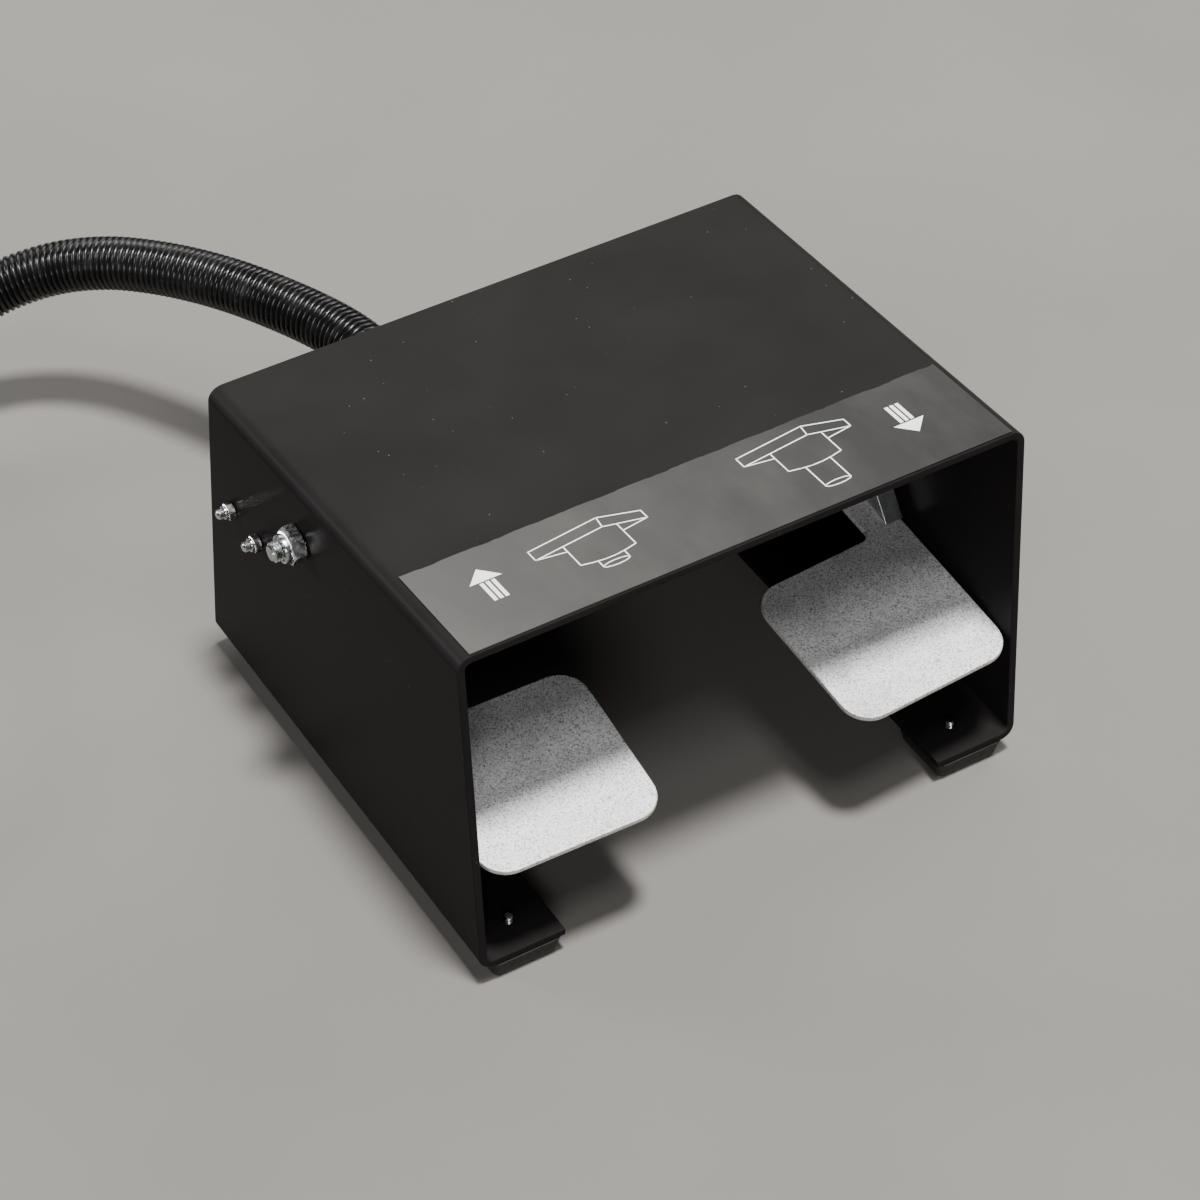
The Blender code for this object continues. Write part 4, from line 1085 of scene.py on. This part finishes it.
# %% Plainer finishes
plain = {}
for name, constants, tint, stops, gloss, gloss_range, grain, relief in (
        ("zinc_passivated_fastener", {"Metallic": 1.0}, (0.0022, 4, 0.6),
         [(0.25, "#8E9092"), (0.5, "#C2C3C4"), (0.75, "#DADBDB")], (0.0022, 4, 0.6), (0.16, 0.32),
         (0.0005, 2), (0.00002, 0.6)),
        ("moulded_white_nylon", {"IOR": 1.53}, (0.0015, 2), [(0.3, "#B9BCBD"), (0.7, "#D3D5D5")],
         (0.0006, 2), (0.35, 0.5), (0.0006, 2), None),
        ("spark_textured_gland_plastic", {"IOR": 1.5}, (0.004, 4), [(0.3, "#131314"), (0.7, "#1B1B1C")],
         (0.002, 2), (0.42, 0.56), (0.0005, 2), (0.00005, 0.6)),
        ("glass_filled_switch_plastic", {"IOR": 1.5}, (0.004, 4), [(0.3, "#18191C"), (0.7, "#222327")],
         (0.002, 2), (0.42, 0.56), (0.0004, 2), (0.00005, 0.6)),
        ("soft_black_pvc_sheath", {"IOR": 1.53}, (0.005, 3), [(0.3, "#0F0F10"), (0.7, "#1C1C1D")],
         (0.003, 2), (0.38, 0.52), (0.0012, 2), (0.00005, 0.5)),
        ("blued_drawn_spring_wire", {"Metallic": 1.0}, (0.0018, 3), [(0.3, "#5F6166"), (0.7, "#8E9093")],
         (0.001, 2), (0.26, 0.4), (0.001, 2), None)):
    made, tree, where, (tinted, glossy, grained) = finish(name, tint, gloss, grain, **constants)
    coat(made, tinted, stops, (), (glossy, 0.3, 0.7, *gloss_range), relief and (grained, *relief))
    plain[name] = made
print("plainer finishes:", len(plain))

# %% [markdown]
# ## Dress every piece
#
# The pieces' names say what they are made of, so one table gives each group its finish. The two leads
# keep their solids' shape and only change their material.

# %% Give the pieces their finishes
dressed = [
    (powder_coat, ["folded_guard", "rear_cover"]),
    (laminate, ["laminate_label"]), (ink, ["printed_pictograms"]),
    (metallic_paint, ["left_foot_plate", "right_foot_plate"]),
    (zinc_plate, ["lever_bar", "switch_plate", "spacer_tube", "conduit_fitting", "fitting_locknut"]),
    (plain["zinc_passivated_fastener"], ["lock_nut", "_bolt", "threaded", "axle_rod", "gland_nut"]),
    (plain["moulded_white_nylon"], ["nylon_ring"]), (hose_nylon, ["corrugated_hose"]),
    (plain["spark_textured_gland_plastic"], ["cable_gland"]),
    (plain["glass_filled_switch_plastic"], ["switch_block"]),
    (rubber, ["_rubber", "rubber_bumper"]), (plain["soft_black_pvc_sheath"], ["switch_lead"]),
    (bronze, ["bronze_bush"]), (brass, ["brass_plunger"]), (plain["blued_drawn_spring_wire"], ["wire_spring"]),
]
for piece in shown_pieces():
    made = [material for material, names in dressed if any(name in piece.name for name in names)]
    if not made:
        continue
    if "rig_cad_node" in piece:
        for place in piece.material_slots:
            place.material = made[0]
    else:
        piece.data.materials.clear()
        piece.data.materials.append(made[0])

# %% [markdown]
# ## Floor and lights
#
# The floor is plain and pale, so nothing competes with the object. A broad high light falls evenly from
# above and leaves the plates' far ends in the guard's shadow. The back box makes the dark top glow grey
# and the left-back box draws a line along the left fold. A low fill from the left front reaches the
# levers through the open front, and the side and front boxes lift the right side and the plates. The
# world itself is dim, which keeps the side walls dark.

# %% Lay the floor and hang the lights
bpy.ops.mesh.primitive_plane_add(size=14, location=(0, 0, -0.0002))
floor = settle("studio_floor")
floor_paint, tree, where, (cloud,) = finish("pale_studio_floor", (0.4, 4), IOR=1.45, Roughness=0.85)
coat(floor_paint, cloud, [(0.3, "#6D6A66"), (0.7, "#76736F")])
floor.data.materials.append(floor_paint)


def hang(name, kind, turn, place, **settings):
    """A light of a kind, turned and placed."""
    lamp = bpy.data.lights.new(name, kind)
    for setting, value in settings.items():
        setattr(lamp, setting, value)
    item = bpy.data.objects.new(name, lamp)
    item.matrix_world = Matrix.Translation(place) @ turn.to_matrix().to_4x4()
    bpy.context.scene.collection.objects.link(item)


hang("high_light", "SUN", Vector((0.05, -0.11, 1.0)).to_track_quat("Z", "Y"), (0, 0, 0),
     energy=6.6, angle=math.radians(9))
for name, place, aim, width, height, power in (
        ("back_box", (1.0, 2.2, 1.9), (0, 0, 0.1), 2.6, 1.6, 40),
        ("left_back_box", (-2.3, 2.1, 1.2), (0, 0, 0.15), 1.0, 0.8, 45),
        ("fill_box", (-1.1, -2.1, 1.1), (0.1, 0, 0.1), 0.8, 0.5, 20),
        ("side_box", (2.0, 0.6, 1.7), (0, 0, 0), 0.8, 0.8, 22),
        ("front_box", (0.0, -1.0, 2.35), (0, -0.1, 0.1), 0.5, 0.5, 15)):
    hang(name, "AREA", (Vector(aim) - Vector(place)).to_track_quat("-Z", "Y"), place,
         shape="RECTANGLE", size=width, size_y=height, energy=power)
world = bpy.data.worlds.new("dim_studio")
world.use_nodes = True
world.node_tree.nodes["Background"].inputs["Color"].default_value = colour("#7C7E80")
world.node_tree.nodes["Background"].inputs["Strength"].default_value = 0.08
bpy.context.scene.world = world
